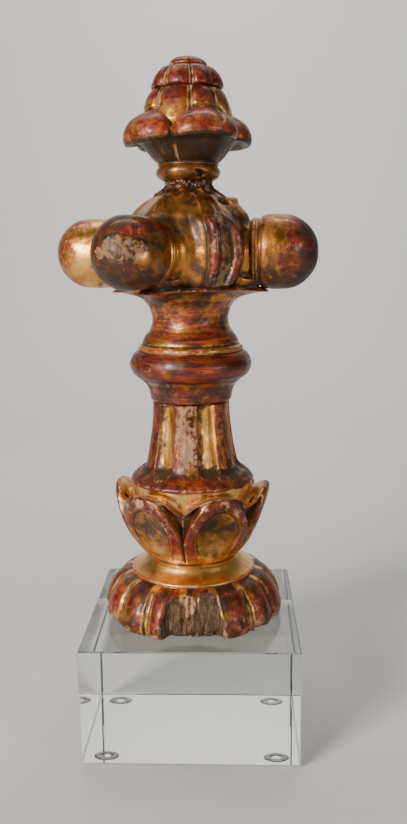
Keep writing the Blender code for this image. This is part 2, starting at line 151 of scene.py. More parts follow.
class Wiring:
    """Adds nodes to one tree and links them."""

    def __init__(self, tree):
        self.tree = tree

    def node(self, kind, **settings):
        made = self.tree.nodes.new(kind)
        for key, value in settings.items():
            setattr(made, key, value)
        return made

    def feed(self, target, value):
        if isinstance(value, bpy.types.NodeSocket):
            self.tree.links.new(value, target)
        else:
            target.default_value = value

    def sums(self, operation, first, second=0.0, clamp=False):
        made = self.node("ShaderNodeMath", operation=operation, use_clamp=clamp)
        self.feed(made.inputs[0], first)
        self.feed(made.inputs[1], second)
        return made.outputs[0]

    def plus(self, first, second):
        return self.sums("ADD", first, second)

    def minus(self, first, second, clamp=False):
        return self.sums("SUBTRACT", first, second, clamp)

    def times(self, first, second):
        return self.sums("MULTIPLY", first, second)

    def ramp(self, value, low, high):
        """0 below low, 1 above high, eased between."""
        made = self.node("ShaderNodeMapRange", interpolation_type="SMOOTHSTEP")
        self.feed(made.inputs["Value"], value)
        self.feed(made.inputs["From Min"], low)
        self.feed(made.inputs["From Max"], high)
        return made.outputs["Result"]

    def noise(self, place, scale, detail=4.0, rough=0.6, warp=0.0):
        made = self.node("ShaderNodeTexNoise")
        self.feed(made.inputs["Vector"], place)
        made.inputs["Scale"].default_value = scale
        made.inputs["Detail"].default_value = detail
        made.inputs["Roughness"].default_value = rough
        made.inputs["Distortion"].default_value = warp
        return made.outputs["Fac"]

    def blend(self, share, first, second):
        made = self.node("ShaderNodeMix", data_type="RGBA")
        self.feed(made.inputs[0], share)
        self.feed(made.inputs[6], first)
        self.feed(made.inputs[7], second)
        return made.outputs[2]

    def attribute(self, name):
        return self.node("ShaderNodeAttribute", attribute_name=name).outputs["Fac"]


def new_paint(name, base_color=None, **plain):
    """A material, its wiring and its shader, with plain values on the shader's sockets."""
    material = bpy.data.materials.new(name)
    material.use_nodes = True
    shader = material.node_tree.nodes["Principled BSDF"]
    if base_color:
        shader.inputs["Base Color"].default_value = base_color
    for socket, value in plain.items():
        shader.inputs[socket.replace("_", " ")].default_value = value
    return material, Wiring(material.node_tree), shader


def worn_edge_group():
    """Turns a soft mask into a ragged one: the mask decides how much of a noise shows."""
    group = new_group(
        "worn_edge",
        (
            ("Mask", "NodeSocketFloat", 0.5),
            ("Place", "NodeSocketVector", (0.0, 0.0, 0.0)),
            ("Scale", "NodeSocketFloat", 300.0),
            ("Softness", "NodeSocketFloat", 0.08),
        ),
        (("Shown", "NodeSocketFloat"),),
    )
    wire = Wiring(group)
    given = wire.node("NodeGroupInput").outputs
    grain = wire.node("ShaderNodeTexNoise")
    wire.feed(grain.inputs["Vector"], given["Place"])
    wire.feed(grain.inputs["Scale"], given["Scale"])
    grain.inputs["Detail"].default_value = 6.0
    grain.inputs["Roughness"].default_value = 0.68
    grain.inputs["Distortion"].default_value = 0.5
    spread = wire.ramp(grain.outputs["Fac"], 0.25, 0.75)
    level_needed = wire.minus(1.0, given["Mask"])
    low = wire.minus(level_needed, given["Softness"])
    high = wire.plus(level_needed, given["Softness"])
    shown = wire.ramp(spread, low, high)
    gone = wire.ramp(given["Mask"], 0.0, 0.06)
    kept = wire.times(shown, gone)
    wire.feed(wire.node("NodeGroupOutput").inputs["Shown"], kept)
    return group


WORN_EDGE = worn_edge_group()
GOLD_BRIGHT = (0.88, 0.47, 0.12, 1.0)
GOLD_MID = (0.60, 0.235, 0.040, 1.0)
GOLD_DEEP = (0.20, 0.068, 0.011, 1.0)
BOLE_ORANGE = (0.42, 0.085, 0.016, 1.0)
BOLE_RED = (0.20, 0.021, 0.006, 1.0)
BOLE_DARK = (0.045, 0.006, 0.003, 1.0)
GESSO_PINK = (0.50, 0.29, 0.17, 1.0)
GESSO_TAN = (0.27, 0.145, 0.070, 1.0)
# One dark brown for grime and for painted shade.
GRIME_AND_SHADE_BROWN = (0.022, 0.011, 0.005, 1.0)
WOOD_GREY = (0.19, 0.105, 0.052, 1.0)
WOOD_DARK = (0.040, 0.019, 0.010, 1.0)


def gilding_material(name):
    """The layered finish of the finial, laid by the masks that each carved length carries, painted shade
    and painted highlights among them.
    """
    material, wire, shader = new_paint(name)
    place = wire.node("ShaderNodeTexCoord").outputs["Object"]
    masks = {key: wire.attribute(key) for key in FINISH}

    def ragged(mask, scale, softness=0.08):
        made = wire.node("ShaderNodeGroup", node_tree=WORN_EDGE)
        wire.feed(made.inputs["Mask"], mask)
        wire.feed(made.inputs["Place"], place)
        made.inputs["Scale"].default_value = scale
        made.inputs["Softness"].default_value = softness
        return made.outputs["Shown"]

    def stretched(scale, noise_scale, detail):
        squeezed = wire.node("ShaderNodeMapping")
        squeezed.inputs["Scale"].default_value = scale
        wire.feed(squeezed.inputs["Vector"], place)
        return wire.noise(squeezed.outputs["Vector"], noise_scale, detail, 0.68)

    def three_tones(tone, low, middle, high):
        first = wire.blend(wire.ramp(tone, 0.0, 0.55), low, middle)
        return wire.blend(wire.ramp(tone, 0.5, 1.0), first, high)

    cloud = wire.noise(place, 75.0, 5.0, 0.65, 0.8)
    mottle = wire.noise(place, 260.0, 5.0, 0.7, 0.6)
    speck = wire.noise(place, 900.0, 3.0, 0.7)
    upright = stretched((1.0, 1.0, 0.13), 380.0, 4.0)
    level = stretched((0.10, 0.10, 1.0), 620.0, 4.0)
    drawn = wire.blend(masks["turned"], upright, level)
    lean = wire.sums("ABSOLUTE", wire.minus(masks["turned"], 0.5))
    lean = wire.times(lean, 2.0)
    streak = wire.times(wire.minus(drawn, 0.5), lean)
    mottle = wire.blend(wire.times(lean, 0.75), mottle, drawn)

    # The gold mask brightens the gold tone, for unworn gilding and for painted highlights.
    gold_tone = wire.plus(wire.times(cloud, 1.1), wire.times(masks["gold"], 0.7))
    gold_tone = wire.plus(gold_tone, wire.times(streak, 0.7))
    gold = three_tones(wire.ramp(gold_tone, 0.45, 1.45), GOLD_DEEP, GOLD_MID, GOLD_BRIGHT)
    bole_tone = wire.plus(mottle, wire.times(masks["gold"], 0.30))
    bole_tone = wire.plus(bole_tone, wire.times(streak, 0.5))
    bole = three_tones(wire.ramp(bole_tone, 0.38, 0.92), BOLE_DARK, BOLE_RED, BOLE_ORANGE)
    # Grime and painted shade turn worn gesso from pink to tan.
    clean_and_unshaded = wire.minus(1.0, wire.times(masks["grime"], 1.3), clamp=True)
    gesso = wire.blend(wire.times(wire.ramp(mottle, 0.35, 0.62), clean_and_unshaded), GESSO_TAN, GESSO_PINK)

    rubbed = wire.plus(masks["bole"], wire.times(streak, 0.9))
    bole_share = ragged(rubbed, 150.0, 0.24)
    streaked = wire.plus(masks["gesso"], wire.times(streak, 0.30))
    streaked = wire.minus(wire.times(streaked, 0.92), 0.04)
    gesso_share = ragged(streaked, 300.0, 0.19)
    # Grime and painted shade darken the colour to dark brown and dull the metal.
    grime_share = ragged(masks["grime"], 120.0, 0.34)
    bare_share = ragged(masks["bare"], 240.0, 0.14)

    grain = stretched((1.0, 1.0, 0.07), 900.0, 6.0)
    wood = wire.blend(wire.ramp(grain, 0.38, 0.66), WOOD_DARK, WOOD_GREY)
    wood = wire.blend(wire.times(wire.ramp(mottle, 0.50, 0.64), 0.55), wood, WOOD_DARK)

    color = wire.blend(bole_share, gold, bole)
    color = wire.blend(wire.times(grime_share, 0.92), color, GRIME_AND_SHADE_BROWN)
    color = wire.blend(gesso_share, color, gesso)
    color = wire.blend(bare_share, color, wood)
    wire.feed(shader.inputs["Base Color"], color)

    covered = wire.sums("MAXIMUM", gesso_share, bare_share)
    leaf = wire.minus(1.0, wire.times(bole_share, 0.80))
    leaf = wire.times(leaf, wire.minus(1.0, covered))
    metal_kept_under_grime_and_shade = wire.minus(1.0, wire.times(grime_share, 0.6))
    wire.feed(shader.inputs["Metallic"], wire.times(leaf, metal_kept_under_grime_and_shade))

    scuffed = wire.times(wire.ramp(mottle, 0.3, 0.8), 0.16)
    polish = wire.plus(0.29, scuffed)
    rough = wire.plus(polish, wire.times(covered, 0.45))
    rough = wire.plus(rough, wire.times(grime_share, 0.14))
    rough = wire.plus(rough, wire.times(bole_share, 0.07))
    wire.feed(shader.inputs["Roughness"], rough)
    gloss = wire.minus(1.0, covered)
    varnish = wire.minus(0.36, wire.times(grime_share, 0.16))
    varnish = wire.minus(varnish, wire.times(bole_share, 0.14))
    gloss = wire.times(gloss, varnish)
    wire.feed(shader.inputs["Coat Weight"], gloss)
    shader.inputs["Coat Roughness"].default_value = 0.14

    height = wire.times(speck, 0.22)
    height = wire.plus(height, wire.times(mottle, 0.55))
    height = wire.plus(height, wire.times(streak, 0.35))
    height = wire.minus(height, wire.times(bole_share, 0.08))
    height = wire.minus(height, wire.times(gesso_share, 0.30))
    wood_height = wire.times(wire.times(grain, bare_share), 1.1)
    height = wire.plus(height, wood_height)
    bump = wire.node("ShaderNodeBump")
    bump.inputs["Strength"].default_value = 0.5
    bump.inputs["Distance"].default_value = 0.0006
    wire.feed(bump.inputs["Height"], height)
    wire.feed(shader.inputs["Normal"], bump.outputs["Normal"])
    return material


GILDING = gilding_material("worn_gilding")


# Lower length of the finial: gadrooned foot, cove, leaf cup, flange and fluted shaft.
# It is one turned piece of wood, carved, gessoed and gilded, with its front worn to bare wood.
# All radii and heights are measured from the axis and from the finial's flat underside.
FINIAL_BASE = finial_low.z
FOOT_CONTACT_RADIUS = 0.0429
FOOT_RADIUS = 0.0444
FOOT_HEIGHT = 0.0214
FOOT_RING_RADIUS = 0.0308
GADROON_COUNT = 15
GADROON_DEPTH = 0.0026
WORN_FRONT_ANGLE, WORN_FRONT_HALF_WIDTH, WORN_FRONT_DEPTH = 2.0, 22.5, 0.0062
WAIST_RADIUS, WAIST_HEIGHT = 0.0226, 0.0305
LEAF_COUNT, LEAF_TURN = 6, 24.2
LEAF_RADIUS, LEAF_TIP_HEIGHT, LEAF_ARCH_DROP = 0.0378, 0.0662, 0.0100
LEAF_HOLLOW_DEPTH, LEAF_VALLEY_DEPTH = 0.0036, 0.0042
FLANGE_RADIUS, FLANGE_HEIGHT = 0.0299, 0.0677
SHAFT_BASE_RADIUS, SHAFT_TOP_RADIUS, SHAFT_TOP_HEIGHT = 0.0210, 0.0185, 0.1072
CHANNEL_DEPTH = 0.0026
SEAM_TURN = LEAF_TURN - 180.0 / LEAF_COUNT


def smooth(value):
    """Ease from 0 to 1, for arrays."""
    value = np.clip(value, 0.0, 1.0)
    return value * value * (3.0 - 2.0 * value)


def offset_angle(beta, centre, spacing=360.0):
    """Signed angle in degrees to the nearest of the centres spaced around the axis."""
    return (beta - centre + spacing / 2.0) % spacing - spacing / 2.0


def mix(start, end, share):
    return start + (end - start) * share


def bump_at(value, centre, half_width):
    """A soft hump of height 1."""
    return smooth(1.0 - np.abs(value - centre) / half_width)


def beside(radius, height, *offsets):
    """Profile points given in millimetres from one (radius, height)."""
    return [(radius + 0.001 * out, height + 0.001 * up) for out, up in offsets]


def between(start, end, *parts):
    """Profile points given as parts of the way between two (radius, height) corners."""
    return [(mix(start[0], end[0], out), mix(start[1], end[1], up)) for out, up in parts]


def near(angle, centre, half_width):
    """A soft hump round the axis."""
    return bump_at(offset_angle(angle, centre), 0.0, half_width)


def bell(angle, centre, width):
    """A bell-shaped hump round the axis, with long tails."""
    return np.exp(-(offset_angle(angle, centre) / width) ** 2)


def through(points, share):
    """A smooth curve through a few (radius, height) points, share 0 to 1 along it."""
    points = np.array(points, float)
    steps = np.hypot(*np.diff(points, axis=0).T)
    knots = np.concatenate(([0.0], np.cumsum(steps))) / steps.sum()
    slopes = np.gradient(points, knots, axis=0)
    share = np.clip(share, 0.0, 1.0)
    index = np.clip(np.searchsorted(knots, share, side="right") - 1, 0, len(knots) - 2)
    width = (knots[index + 1] - knots[index])[..., None]
    t = (share - knots[index])[..., None] / width
    start, end = points[index], points[index + 1]
    spline = (
        (2 * t ** 3 - 3 * t ** 2 + 1) * start
        + (t ** 3 - 2 * t ** 2 + t) * width * slopes[index]
        + (-2 * t ** 3 + 3 * t ** 2) * end
        + (t ** 3 - t ** 2) * width * slopes[index + 1]
    )
    return spline[..., 0], spline[..., 1]


def cells(around, up, scale_around, scale_up, seed, layers=3):
    """Smooth repeatable noise from -1 to 1 over angle (degrees) and height (metres)."""
    total = np.zeros(np.broadcast(around, up).shape)
    draw = np.random.default_rng(seed)
    size = 1.0
    for _ in range(layers):
        columns = max(int(round(360.0 / scale_around / size)), 3)
        grid = draw.uniform(-1.0, 1.0, (64, columns))
        x = (np.asarray(around) % 360.0) / 360.0 * columns
        y = np.asarray(up) / (scale_up * size) + 31.0
        x0, y0 = np.floor(x).astype(int), np.floor(y).astype(int)
        fx, fy = smooth(x - x0), smooth(y - y0)
        a, b = x0 % columns, (x0 + 1) % columns
        c, d = y0 % 64, (y0 + 1) % 64
        low = grid[c, a] * (1 - fx) + grid[c, b] * fx
        high = grid[d, a] * (1 - fx) + grid[d, b] * fx
        total = total + (low * (1 - fy) + high * fy) * size
        size *= 0.5
    return total / 1.75


def patches(radius, around, along, size, seed, layers=3):
    """Smooth repeatable noise from -1 to 1 in space, for a point given round the axis."""
    angle = np.radians(around)
    spot = np.stack(np.broadcast_arrays(radius * np.cos(angle), radius * np.sin(angle), along), axis=-1)
    grid = np.random.default_rng(seed).uniform(-1.0, 1.0, (32, 32, 32))
    total = np.zeros(spot.shape[:-1])
    weight = 1.0
    for _ in range(layers):
        where = spot / (size * weight) + 16.5
        cell = np.floor(where).astype(int)
        part = smooth(where - cell)
        layer = np.zeros(total.shape)
        for corner in range(8):
            step = np.array([corner & 1, corner >> 1 & 1, corner >> 2 & 1])
            share = np.prod(np.where(step, part, 1.0 - part), axis=-1)
            at = (cell + step) % 32
            layer = layer + share * grid[at[..., 0], at[..., 1], at[..., 2]]
        total = total + layer * weight
        weight *= 0.5
    return total / 1.3


def zone(radius, height, **masks):
    """One zone of a turned length: its shape and how its finish has worn."""
    shape = np.broadcast(radius, height).shape
    made = {"radius": np.broadcast_to(radius, shape), "height": np.broadcast_to(height, shape)}
    for key in FINISH:
        usual = 0.5 if key == "turned" else 0.0
        made[key] = np.clip(np.broadcast_to(masks.get(key, usual), shape), 0.0, 1.0)
    return made


def stack(zones):
    """Joins zones, listed bottom to top, into one length."""
    return {key: np.concatenate([z[key] for z in zones], axis=0) for key in zones[0]}


def spots_of(mesh):
    """The places of all vertices of a mesh."""
    spots = np.zeros(len(mesh.vertices) * 3)
    mesh.vertices.foreach_get("co", spots)
    return spots.reshape(-1, 3)


def turned_blank(name, rows, columns):
    """A plain turned tube of wood, spun from a line and closed at both ends."""
    bpy.ops.object.select_all(action="DESELECT")
    line = bpy.data.meshes.new(name)
    line.from_pydata([(0.02, 0.0, float(row)) for row in range(rows)],
                     [(row, row + 1) for row in range(rows - 1)], [])
    blank = bpy.data.objects.new(name, line)
    bpy.context.scene.collection.objects.link(blank)
    bpy.context.view_layer.objects.active = blank
    blank.select_set(True)
    bpy.ops.object.mode_set(mode="EDIT")
    bpy.ops.mesh.select_all(action="SELECT")
    bpy.ops.mesh.spin(steps=columns, angle=2.0 * math.pi, center=(0.0, 0.0, 0.0), axis=(0.0, 0.0, 1.0))
    bpy.ops.mesh.select_all(action="SELECT")
    bpy.ops.mesh.remove_doubles(threshold=0.00001)
    for end in (0.0, rows - 1.0):
        bpy.ops.mesh.select_all(action="DESELECT")
        bpy.ops.object.mode_set(mode="OBJECT")
        chosen = np.abs(spots_of(line)[:, 2] - end) < 0.25
        line.vertices.foreach_set("select", chosen)
        edges = np.zeros(len(line.edges) * 2, int)
        line.edges.foreach_get("vertices", edges)
        line.edges.foreach_set("select", chosen[edges.reshape(-1, 2)].all(axis=1))
        bpy.ops.object.mode_set(mode="EDIT")
        bpy.ops.mesh.edge_face_add()
    bpy.ops.mesh.select_all(action="SELECT")
    bpy.ops.mesh.normals_make_consistent(inside=False)
    bpy.ops.object.mode_set(mode="OBJECT")
    return blank


EDGE_RELIEF = (0.00005, 0.00018)
CREASE_RELIEF = (0.00003, 0.00016)


def standing_out(places):
    """How far each point of a carved grid stands out of, or in from, its surroundings."""
    mean = places.copy()
    for _ in range(7):
        up = np.concatenate((mean[1:], mean[-1:]), axis=0)
        down = np.concatenate((mean[:1], mean[:-1]), axis=0)
        mean = (2.0 * mean + up + down + np.roll(mean, 1, axis=1) + np.roll(mean, -1, axis=1)) / 6.0
    along = np.gradient(places, axis=0)
    around = np.roll(places, -1, axis=1) - np.roll(places, 1, axis=1)
    facing = np.cross(around, along)
    facing /= np.maximum(np.linalg.norm(facing, axis=-1, keepdims=True), 1e-12)
    return np.sum((places - mean) * facing, axis=-1)


def carve(blank, length, columns, pale=0.0):
    """Moves each vertex of the blank to its carved place and writes the finish masks on it.

    Rubbed edges show more bole and gesso. Creases are darkened with painted shade, or keep mostly pale
    filler where told."""
    mesh = blank.data
    places = spots_of(mesh)
    row = np.rint(places[:, 2]).astype(int)
    step = 360.0 / columns
    around = np.degrees(np.arctan2(places[:, 1], places[:, 0]))
    column = np.rint(around / step).astype(int) % columns
    angle = np.radians(np.arange(columns) * step - 90.0)[None, :]
    radius, height = length["radius"], length["height"]
    grid = np.stack((radius * np.cos(angle), radius * np.sin(angle), height), axis=-1)
    relief = standing_out(grid)
    edge = smooth((relief - EDGE_RELIEF[0]) / EDGE_RELIEF[1])
    crease = smooth((-relief - CREASE_RELIEF[0]) / CREASE_RELIEF[1])
    worn = dict(length)
    worn["bole"] = np.clip(length["bole"] + 0.30 * edge - 0.25 * crease, 0.0, 1.0)
    worn["gesso"] = np.clip(length["gesso"] + 0.18 * edge + (0.85 * pale - 0.3) * crease, 0.0, 1.0)
    # Creases darken with painted shade, less where pale filler fills them.
    worn["grime"] = np.clip(length["grime"] + (0.85 - 0.75 * pale) * crease - 0.25 * edge, 0.0, 1.0)
    mesh.vertices.foreach_set("co", grid[row, column].ravel())
    for key in FINISH:
        layer = mesh.attributes.new(key, "FLOAT", "POINT")
        layer.data.foreach_set("value", worn[key][row, column].astype(np.float32))
    mesh.update()
    return blank


def betas(columns):
    return (np.arange(columns) * 360.0 / columns)[None, :]


def shares(rows):
    return np.linspace(0.0, 1.0, rows, endpoint=False)[:, None]


BASE_COLUMNS = 450
beta = betas(BASE_COLUMNS)


def foot_zone(rows):
    """Gadroons with narrow gilt channels between them, and the bare, broken front."""
    share = shares(rows)
    radius, height = through(
        beside(FOOT_CONTACT_RADIUS, 0.0, (-1.2, 0.0), (0.4, 0.9))
        + between((FOOT_RING_RADIUS, 0.0), (FOOT_RADIUS, FOOT_HEIGHT),
            (1.0, 0.18), (0.93, 0.44), (0.72, 0.70), (0.42, 0.90), (-0.02, 1.0)),
        share,
    )
    spacing = 360.0 / GADROON_COUNT
    wander = 1.5 * cells(beta, height, 40.0, 0.02, 3)
    side = offset_angle(beta + wander, SEAM_TURN, spacing) / (spacing / 2.0)
    across = np.abs(side)
    lobe = np.sqrt(np.clip(1.0 - ((1.0 - across) / 0.78) ** 2, 0.0, 1.0))
    lip = bump_at(across, 0.23, 0.07)
    fade = smooth((1.03 - share) / 0.45) * smooth(0.4 + share * 6.0)
    dents = cells(beta, height, 9.0, 0.006, 31)
    relief = GADROON_DEPTH * fade * (lobe - 1.0 + 0.50 * lip)
    ragged = WORN_FRONT_HALF_WIDTH * (1.0 + 0.13 * cells(beta, height, 20.0, 0.005, 5))
    narrow = 1.0 - 0.22 * smooth((height / FOOT_HEIGHT - 0.35) / 0.6)
    reach = 1.0 - np.abs(offset_angle(beta, WORN_FRONT_ANGLE)) / (ragged * narrow)
    top = smooth((0.97 - height / FOOT_HEIGHT + 0.12 * cells(beta, height, 12.0, 0.01, 8)) / 0.10)
    worn = smooth(reach * 6.0) * top
    streaks = np.abs(cells(beta, height, 5.0, 0.030, 11, 4)) * 0.0030
    knocks = np.maximum(cells(beta, height, 10.0, 0.006, 12), 0.0) * 0.0022
    remains = bell(beta, SEAM_TURN + 1.0, 1.6 + 4.2 * share)
    depth = WORN_FRONT_DEPTH * smooth(1.25 - height / FOOT_HEIGHT) * smooth(reach * 2.2 + 0.35)
    bare_radius = radius - depth + 0.0008 - streaks - knocks - 0.0013 * remains * smooth(share * 3.0)
    radius = mix(radius + relief, np.minimum(bare_radius, radius + relief), worn)
    chips = smooth((cells(beta, height, 6.0, 0.004, 21) - 0.02) * 3.5) * smooth(1.0 - height / 0.0042)
    radius = radius - 0.0019 * chips + 0.00025 * dents * (1.0 - worn)
    channel = 1.0 - smooth((across - 0.20) / 0.10)
    rag = cells(beta, height, 5.0, 0.005, 33)
    patch = cells(beta, height, 16.0, 0.008, 37)
    upper = smooth((height / FOOT_HEIGHT - 0.60) / 0.35)
    remnants = smooth(cells(beta, height, 6.0, 0.004, 35) * 3.0)
    gesso_top = bump_at(height / FOOT_HEIGHT, 0.86, 0.22) * remnants
    v_width = 9.0 * np.clip((height / FOOT_HEIGHT - 0.35) / 0.55, 0.01, 1.0)
    v_mark = smooth((1.1 - np.abs(offset_angle(beta, -1.0)) / v_width) / 0.25) * worn
    v_mark = v_mark * smooth((height / FOOT_HEIGHT - 0.35) / 0.06)
    return zone(
        radius,
        height,
        bole=(0.70 + 0.28 * rag + 0.28 * patch) * (1.0 - channel) + 0.05 * channel,
        gold=0.32 + 0.70 * channel + 0.35 * lip + 0.35 * smooth(patch * 2.0),
        gesso=0.75 * chips + 0.84 * smooth(1.15 - height / 0.0085) * smooth(rag + 0.75) + 0.70 * v_mark
        + 0.30 * smooth((rag - 0.15) * 3.0) * (1.0 - channel) * (1.0 - upper) + 0.5 * worn * gesso_top,
        grime=0.12 + 0.25 * upper * (1.0 - channel) + 0.34 * smooth(-rag * 2.0) * (1.0 - channel)
        + 0.5 * bump_at(reach, 0.0, 0.05) + 0.3 * worn * smooth(0.4 + patch),
        bare=np.clip(worn * 1.3 - 0.1 - 0.45 * gesso_top - 0.85 * v_mark, 0.0, 1.0) + 0.45 * chips,
    )


def cove_zone(rows):
    """Ring on top of the foot and the plain gilt cove up to the waist."""
    share = shares(rows)
    cove = WAIST_HEIGHT - FOOT_HEIGHT
    radius, height = through(
        beside(FOOT_RING_RADIUS, FOOT_HEIGHT, (-1.4, 0.0), (-0.4, 0.4), (0.0, 1.1), (-0.5, 1.8))
        + beside(FOOT_RING_RADIUS, FOOT_HEIGHT + 0.26 * cove, (-2.0, 0.0))
        + beside(WAIST_RADIUS, FOOT_HEIGHT + 0.52 * cove, (2.6, 0.0))
        + beside(WAIST_RADIUS, FOOT_HEIGHT + 0.82 * cove, (0.6, 0.0))
        + beside(WAIST_RADIUS, WAIST_HEIGHT, (-0.4, -0.8), (-1.6, -0.1)),
        share,
    )
    dents = cells(beta, height, 14.0, 0.006, 41)
    radius = radius + 0.00018 * dents
    edge = bump_at(share, 0.10, 0.10)
    # Darker at its foot by the ring and at its top, where it runs in under the leaves: painted shade.
    return zone(
        radius,
        height,
        bole=0.06 + 0.10 * dents + 0.25 * edge,
        gold=1.0,
        gesso=0.05 + 0.30 * edge * smooth(dents * 2.0),
        grime=0.10 + 0.55 * smooth((share - 0.82) / 0.18) + 0.5 * smooth(1.0 - share / 0.06),
        turned=0.85,
    )


def leaf_across(beta):
    spacing = 360.0 / LEAF_COUNT
    return np.abs(offset_angle(beta, LEAF_TURN, spacing)) / (spacing / 2.0)


def leaf_lip_height(across):
    return LEAF_TIP_HEIGHT - LEAF_ARCH_DROP * across ** 2.4


def cup_radius(height):
    share = np.clip((height - WAIST_HEIGHT) / (LEAF_TIP_HEIGHT - WAIST_HEIGHT), 0.0, 1.0)
    swell = 1.0 - (1.0 - share) ** 2.5
    return mix(WAIST_RADIUS, LEAF_RADIUS, 0.94 * swell + 0.06 * share ** 3)


def leaf_zone(rows):
    """Outer faces of the six spoon-shaped leaves: broad rims, hollows, and valleys darkened with painted
    shade.
    """
    share = shares(rows)
    across = leaf_across(beta)
    height = mix(WAIST_HEIGHT, leaf_lip_height(across), share)
    rise = np.maximum(share - 0.45, 0.0)
    sway = 0.03 * cells(beta, height, 20.0, 0.012, 53)
    taper = 1.0 - 0.22 * smooth((0.45 - share) / 0.45)
    inner = np.hypot(across / (0.67 * taper), rise / 0.39) + sway
    outer = np.hypot(across / 0.97, rise / 0.53) + sway
    hollow = smooth((1.02 - inner) / 0.10) * 0.30 + smooth((1.0 - inner) / 0.75) * 0.70
    hollow = hollow * smooth(share / 0.34)
    valley = np.clip((outer - 0.98) / 0.16, 0.0, 1.3) * smooth((across - 0.45) / 0.3)
    start = smooth(share / 0.12)
    band = smooth((inner - 0.98) / 0.08) * smooth((1.03 - outer) / 0.08) * smooth((share - 0.04) / 0.1)
    dents = cells(beta, height, 5.0, 0.004, 51)
    rag = cells(beta, height, 3.5, 0.003, 55)
    radius = cup_radius(height) - LEAF_HOLLOW_DEPTH * hollow - LEAF_VALLEY_DEPTH * start * valley
    radius = radius + 0.00045 * band + 0.00015 * dents
    shoulder = smooth((outer - 1.0) / 0.10)
    radius = radius - 0.0008 * shoulder * (1.0 - valley)
    bevel = smooth((outer - 1.0) / 0.08)
    upper = smooth((share - 0.22) / 0.40)
    seam = smooth((across - 0.95) / 0.04) * smooth((share - 0.45) / 0.3)
    # The upper hollows and the valleys are darkened through the grime mask: painted shade. The lower
    # hollows get brighter gold: painted light.
    return zone(
        radius,
        height,
        bole=(0.84 + 0.26 * dents) * band + 0.14 * (1.0 - band) + 0.10 * dents,
        gold=0.42 * (1.0 - band) + 0.30 * band - 0.20 * bevel + 0.40 * (1.0 - upper),
        gesso=(0.24 + 0.46 * smooth((share - 0.5) * 2.0)) * band * smooth(0.4 + rag * 1.5) + 0.60 * seam,
        grime=0.14 + 0.56 * smooth((0.98 - inner) / 0.2) * (0.25 + 0.75 * upper)
        + 0.50 * bevel * (1.0 - 0.8 * seam),
    )


def behind_leaves():
    """Across the leaves: their lip height and radius, and where the body starts behind them."""
    across = leaf_across(beta)
    lip = leaf_lip_height(across)
    valley = np.clip((across - 0.80) / 0.20, 0.0, 1.0)
    lip_radius = cup_radius(lip) - LEAF_VALLEY_DEPTH * valley ** 1.3 - 0.0012
    body_radius = np.minimum(FLANGE_RADIUS - 0.0008, lip_radius - 0.0004)
    dip = 0.0022 * (1.0 - across ** 4)
    return across, lip, lip_radius, body_radius, dip


def leaf_back_zone(rows):
    """From the lips of the leaves back to the body, and the pale triangle above each seam."""
    share = shares(rows)
    across, lip, lip_radius, body_radius, dip = behind_leaves()
    height = lip - dip * smooth(share / 0.8) + 0.0007 * share
    radius = mix(lip_radius, body_radius, share)
    dents = cells(beta, height, 6.0, 0.004, 61)
    # Darker deeper into the dip behind the lips, less at the seams: painted shade.
    return zone(
        radius,
        height + 0.0001 * dents,
        bole=0.25 + 0.45 * smooth(1.0 - share / 0.2),
        gold=0.55 + 0.30 * smooth((across - 0.7) / 0.3),
        gesso=0.22 + 0.35 * smooth(1.0 - share / 0.2),
        grime=0.30 * smooth(share) * (1.0 - 0.7 * smooth((across - 0.7) / 0.3)),
    )


def body_zone(rows):
    """Short upright face from behind the leaves to the sharp edge of the flange."""
    share = shares(rows)
    _, lip, _, start_radius, dip = behind_leaves()
    radius = mix(start_radius, FLANGE_RADIUS - 0.0002, smooth(share * 1.3))
    height = mix(lip - dip + 0.0007, FLANGE_HEIGHT, share)
    dents = cells(beta, height, 4.0, 0.003, 71)
    # Darker at its foot, down in the dip behind the leaves: painted shade.
    return zone(
        radius + 0.00015 * dents,
        height,
        bole=0.10 + 0.10 * dents,
        gold=1.0,
        gesso=0.30 + 0.30 * smooth(dents),
        grime=0.35 * (1.0 - smooth(share / 0.25)),
    )


def channel_cut(height):
    """Depth of the six channels of the shaft, the side from their middles, and how far across."""
    spacing = 360.0 / LEAF_COUNT
    wander = 1.4 * cells(beta, height, 60.0, 0.02, 63)
    side = offset_angle(beta + wander, LEAF_TURN, spacing) / (spacing / 2.0)
    round_end = FLANGE_HEIGHT + 0.0098
    below = np.maximum(round_end - height, 0.0) / 0.0056
    across = np.hypot(side / 0.47, below)
    top = smooth((SHAFT_TOP_HEIGHT + 0.0003 - height) / 0.0014)
    return CHANNEL_DEPTH * np.sqrt(np.clip(1.0 - across ** 2, 0.0, 1.0)) * top, side, across


def flange_zone(rows):
    """Thin rounded rim of the flange and its slope, gouged by the ends of the channels."""
    share = shares(rows)
    radius, height = through(
        beside(FLANGE_RADIUS, FLANGE_HEIGHT, (-0.2, 0.0), (0.2, 0.6), (-0.3, 1.4), (-1.2, 2.4),
            (-2.8, 4.0), (-5.6, 6.0))
        + beside(SHAFT_BASE_RADIUS, FLANGE_HEIGHT, (1.6, 8.0)),
        share,
    )
    dents = cells(beta, height, 4.0, 0.002, 81)
    rag = cells(beta, height, 5.0, 0.004, 83)
    rim = bump_at(share, 0.09, 0.10)
    front = near(beta, SEAM_TURN + 3.0, 55.0)
    gouge, _, across = channel_cut(height)
    channel = smooth((1.02 - across) / 0.12)
    return zone(
        radius + 0.0002 * dents - gouge,
        height,
        bole=(0.62 + 0.20 * front + 0.25 * rag) * (1.0 - 0.45 * channel),
        gold=0.30 + 0.2 * front + 0.4 * channel,
        gesso=0.45 * rim * smooth(0.5 + dents) + 0.14 * smooth(rag * 2.0) * front
        + 0.40 * bump_at(across, 1.05, 0.12) * smooth(0.5 + dents),
        grime=0.45 * (1.0 - front) * (1.0 - rim) + 0.10 + 0.10 * channel,
    )


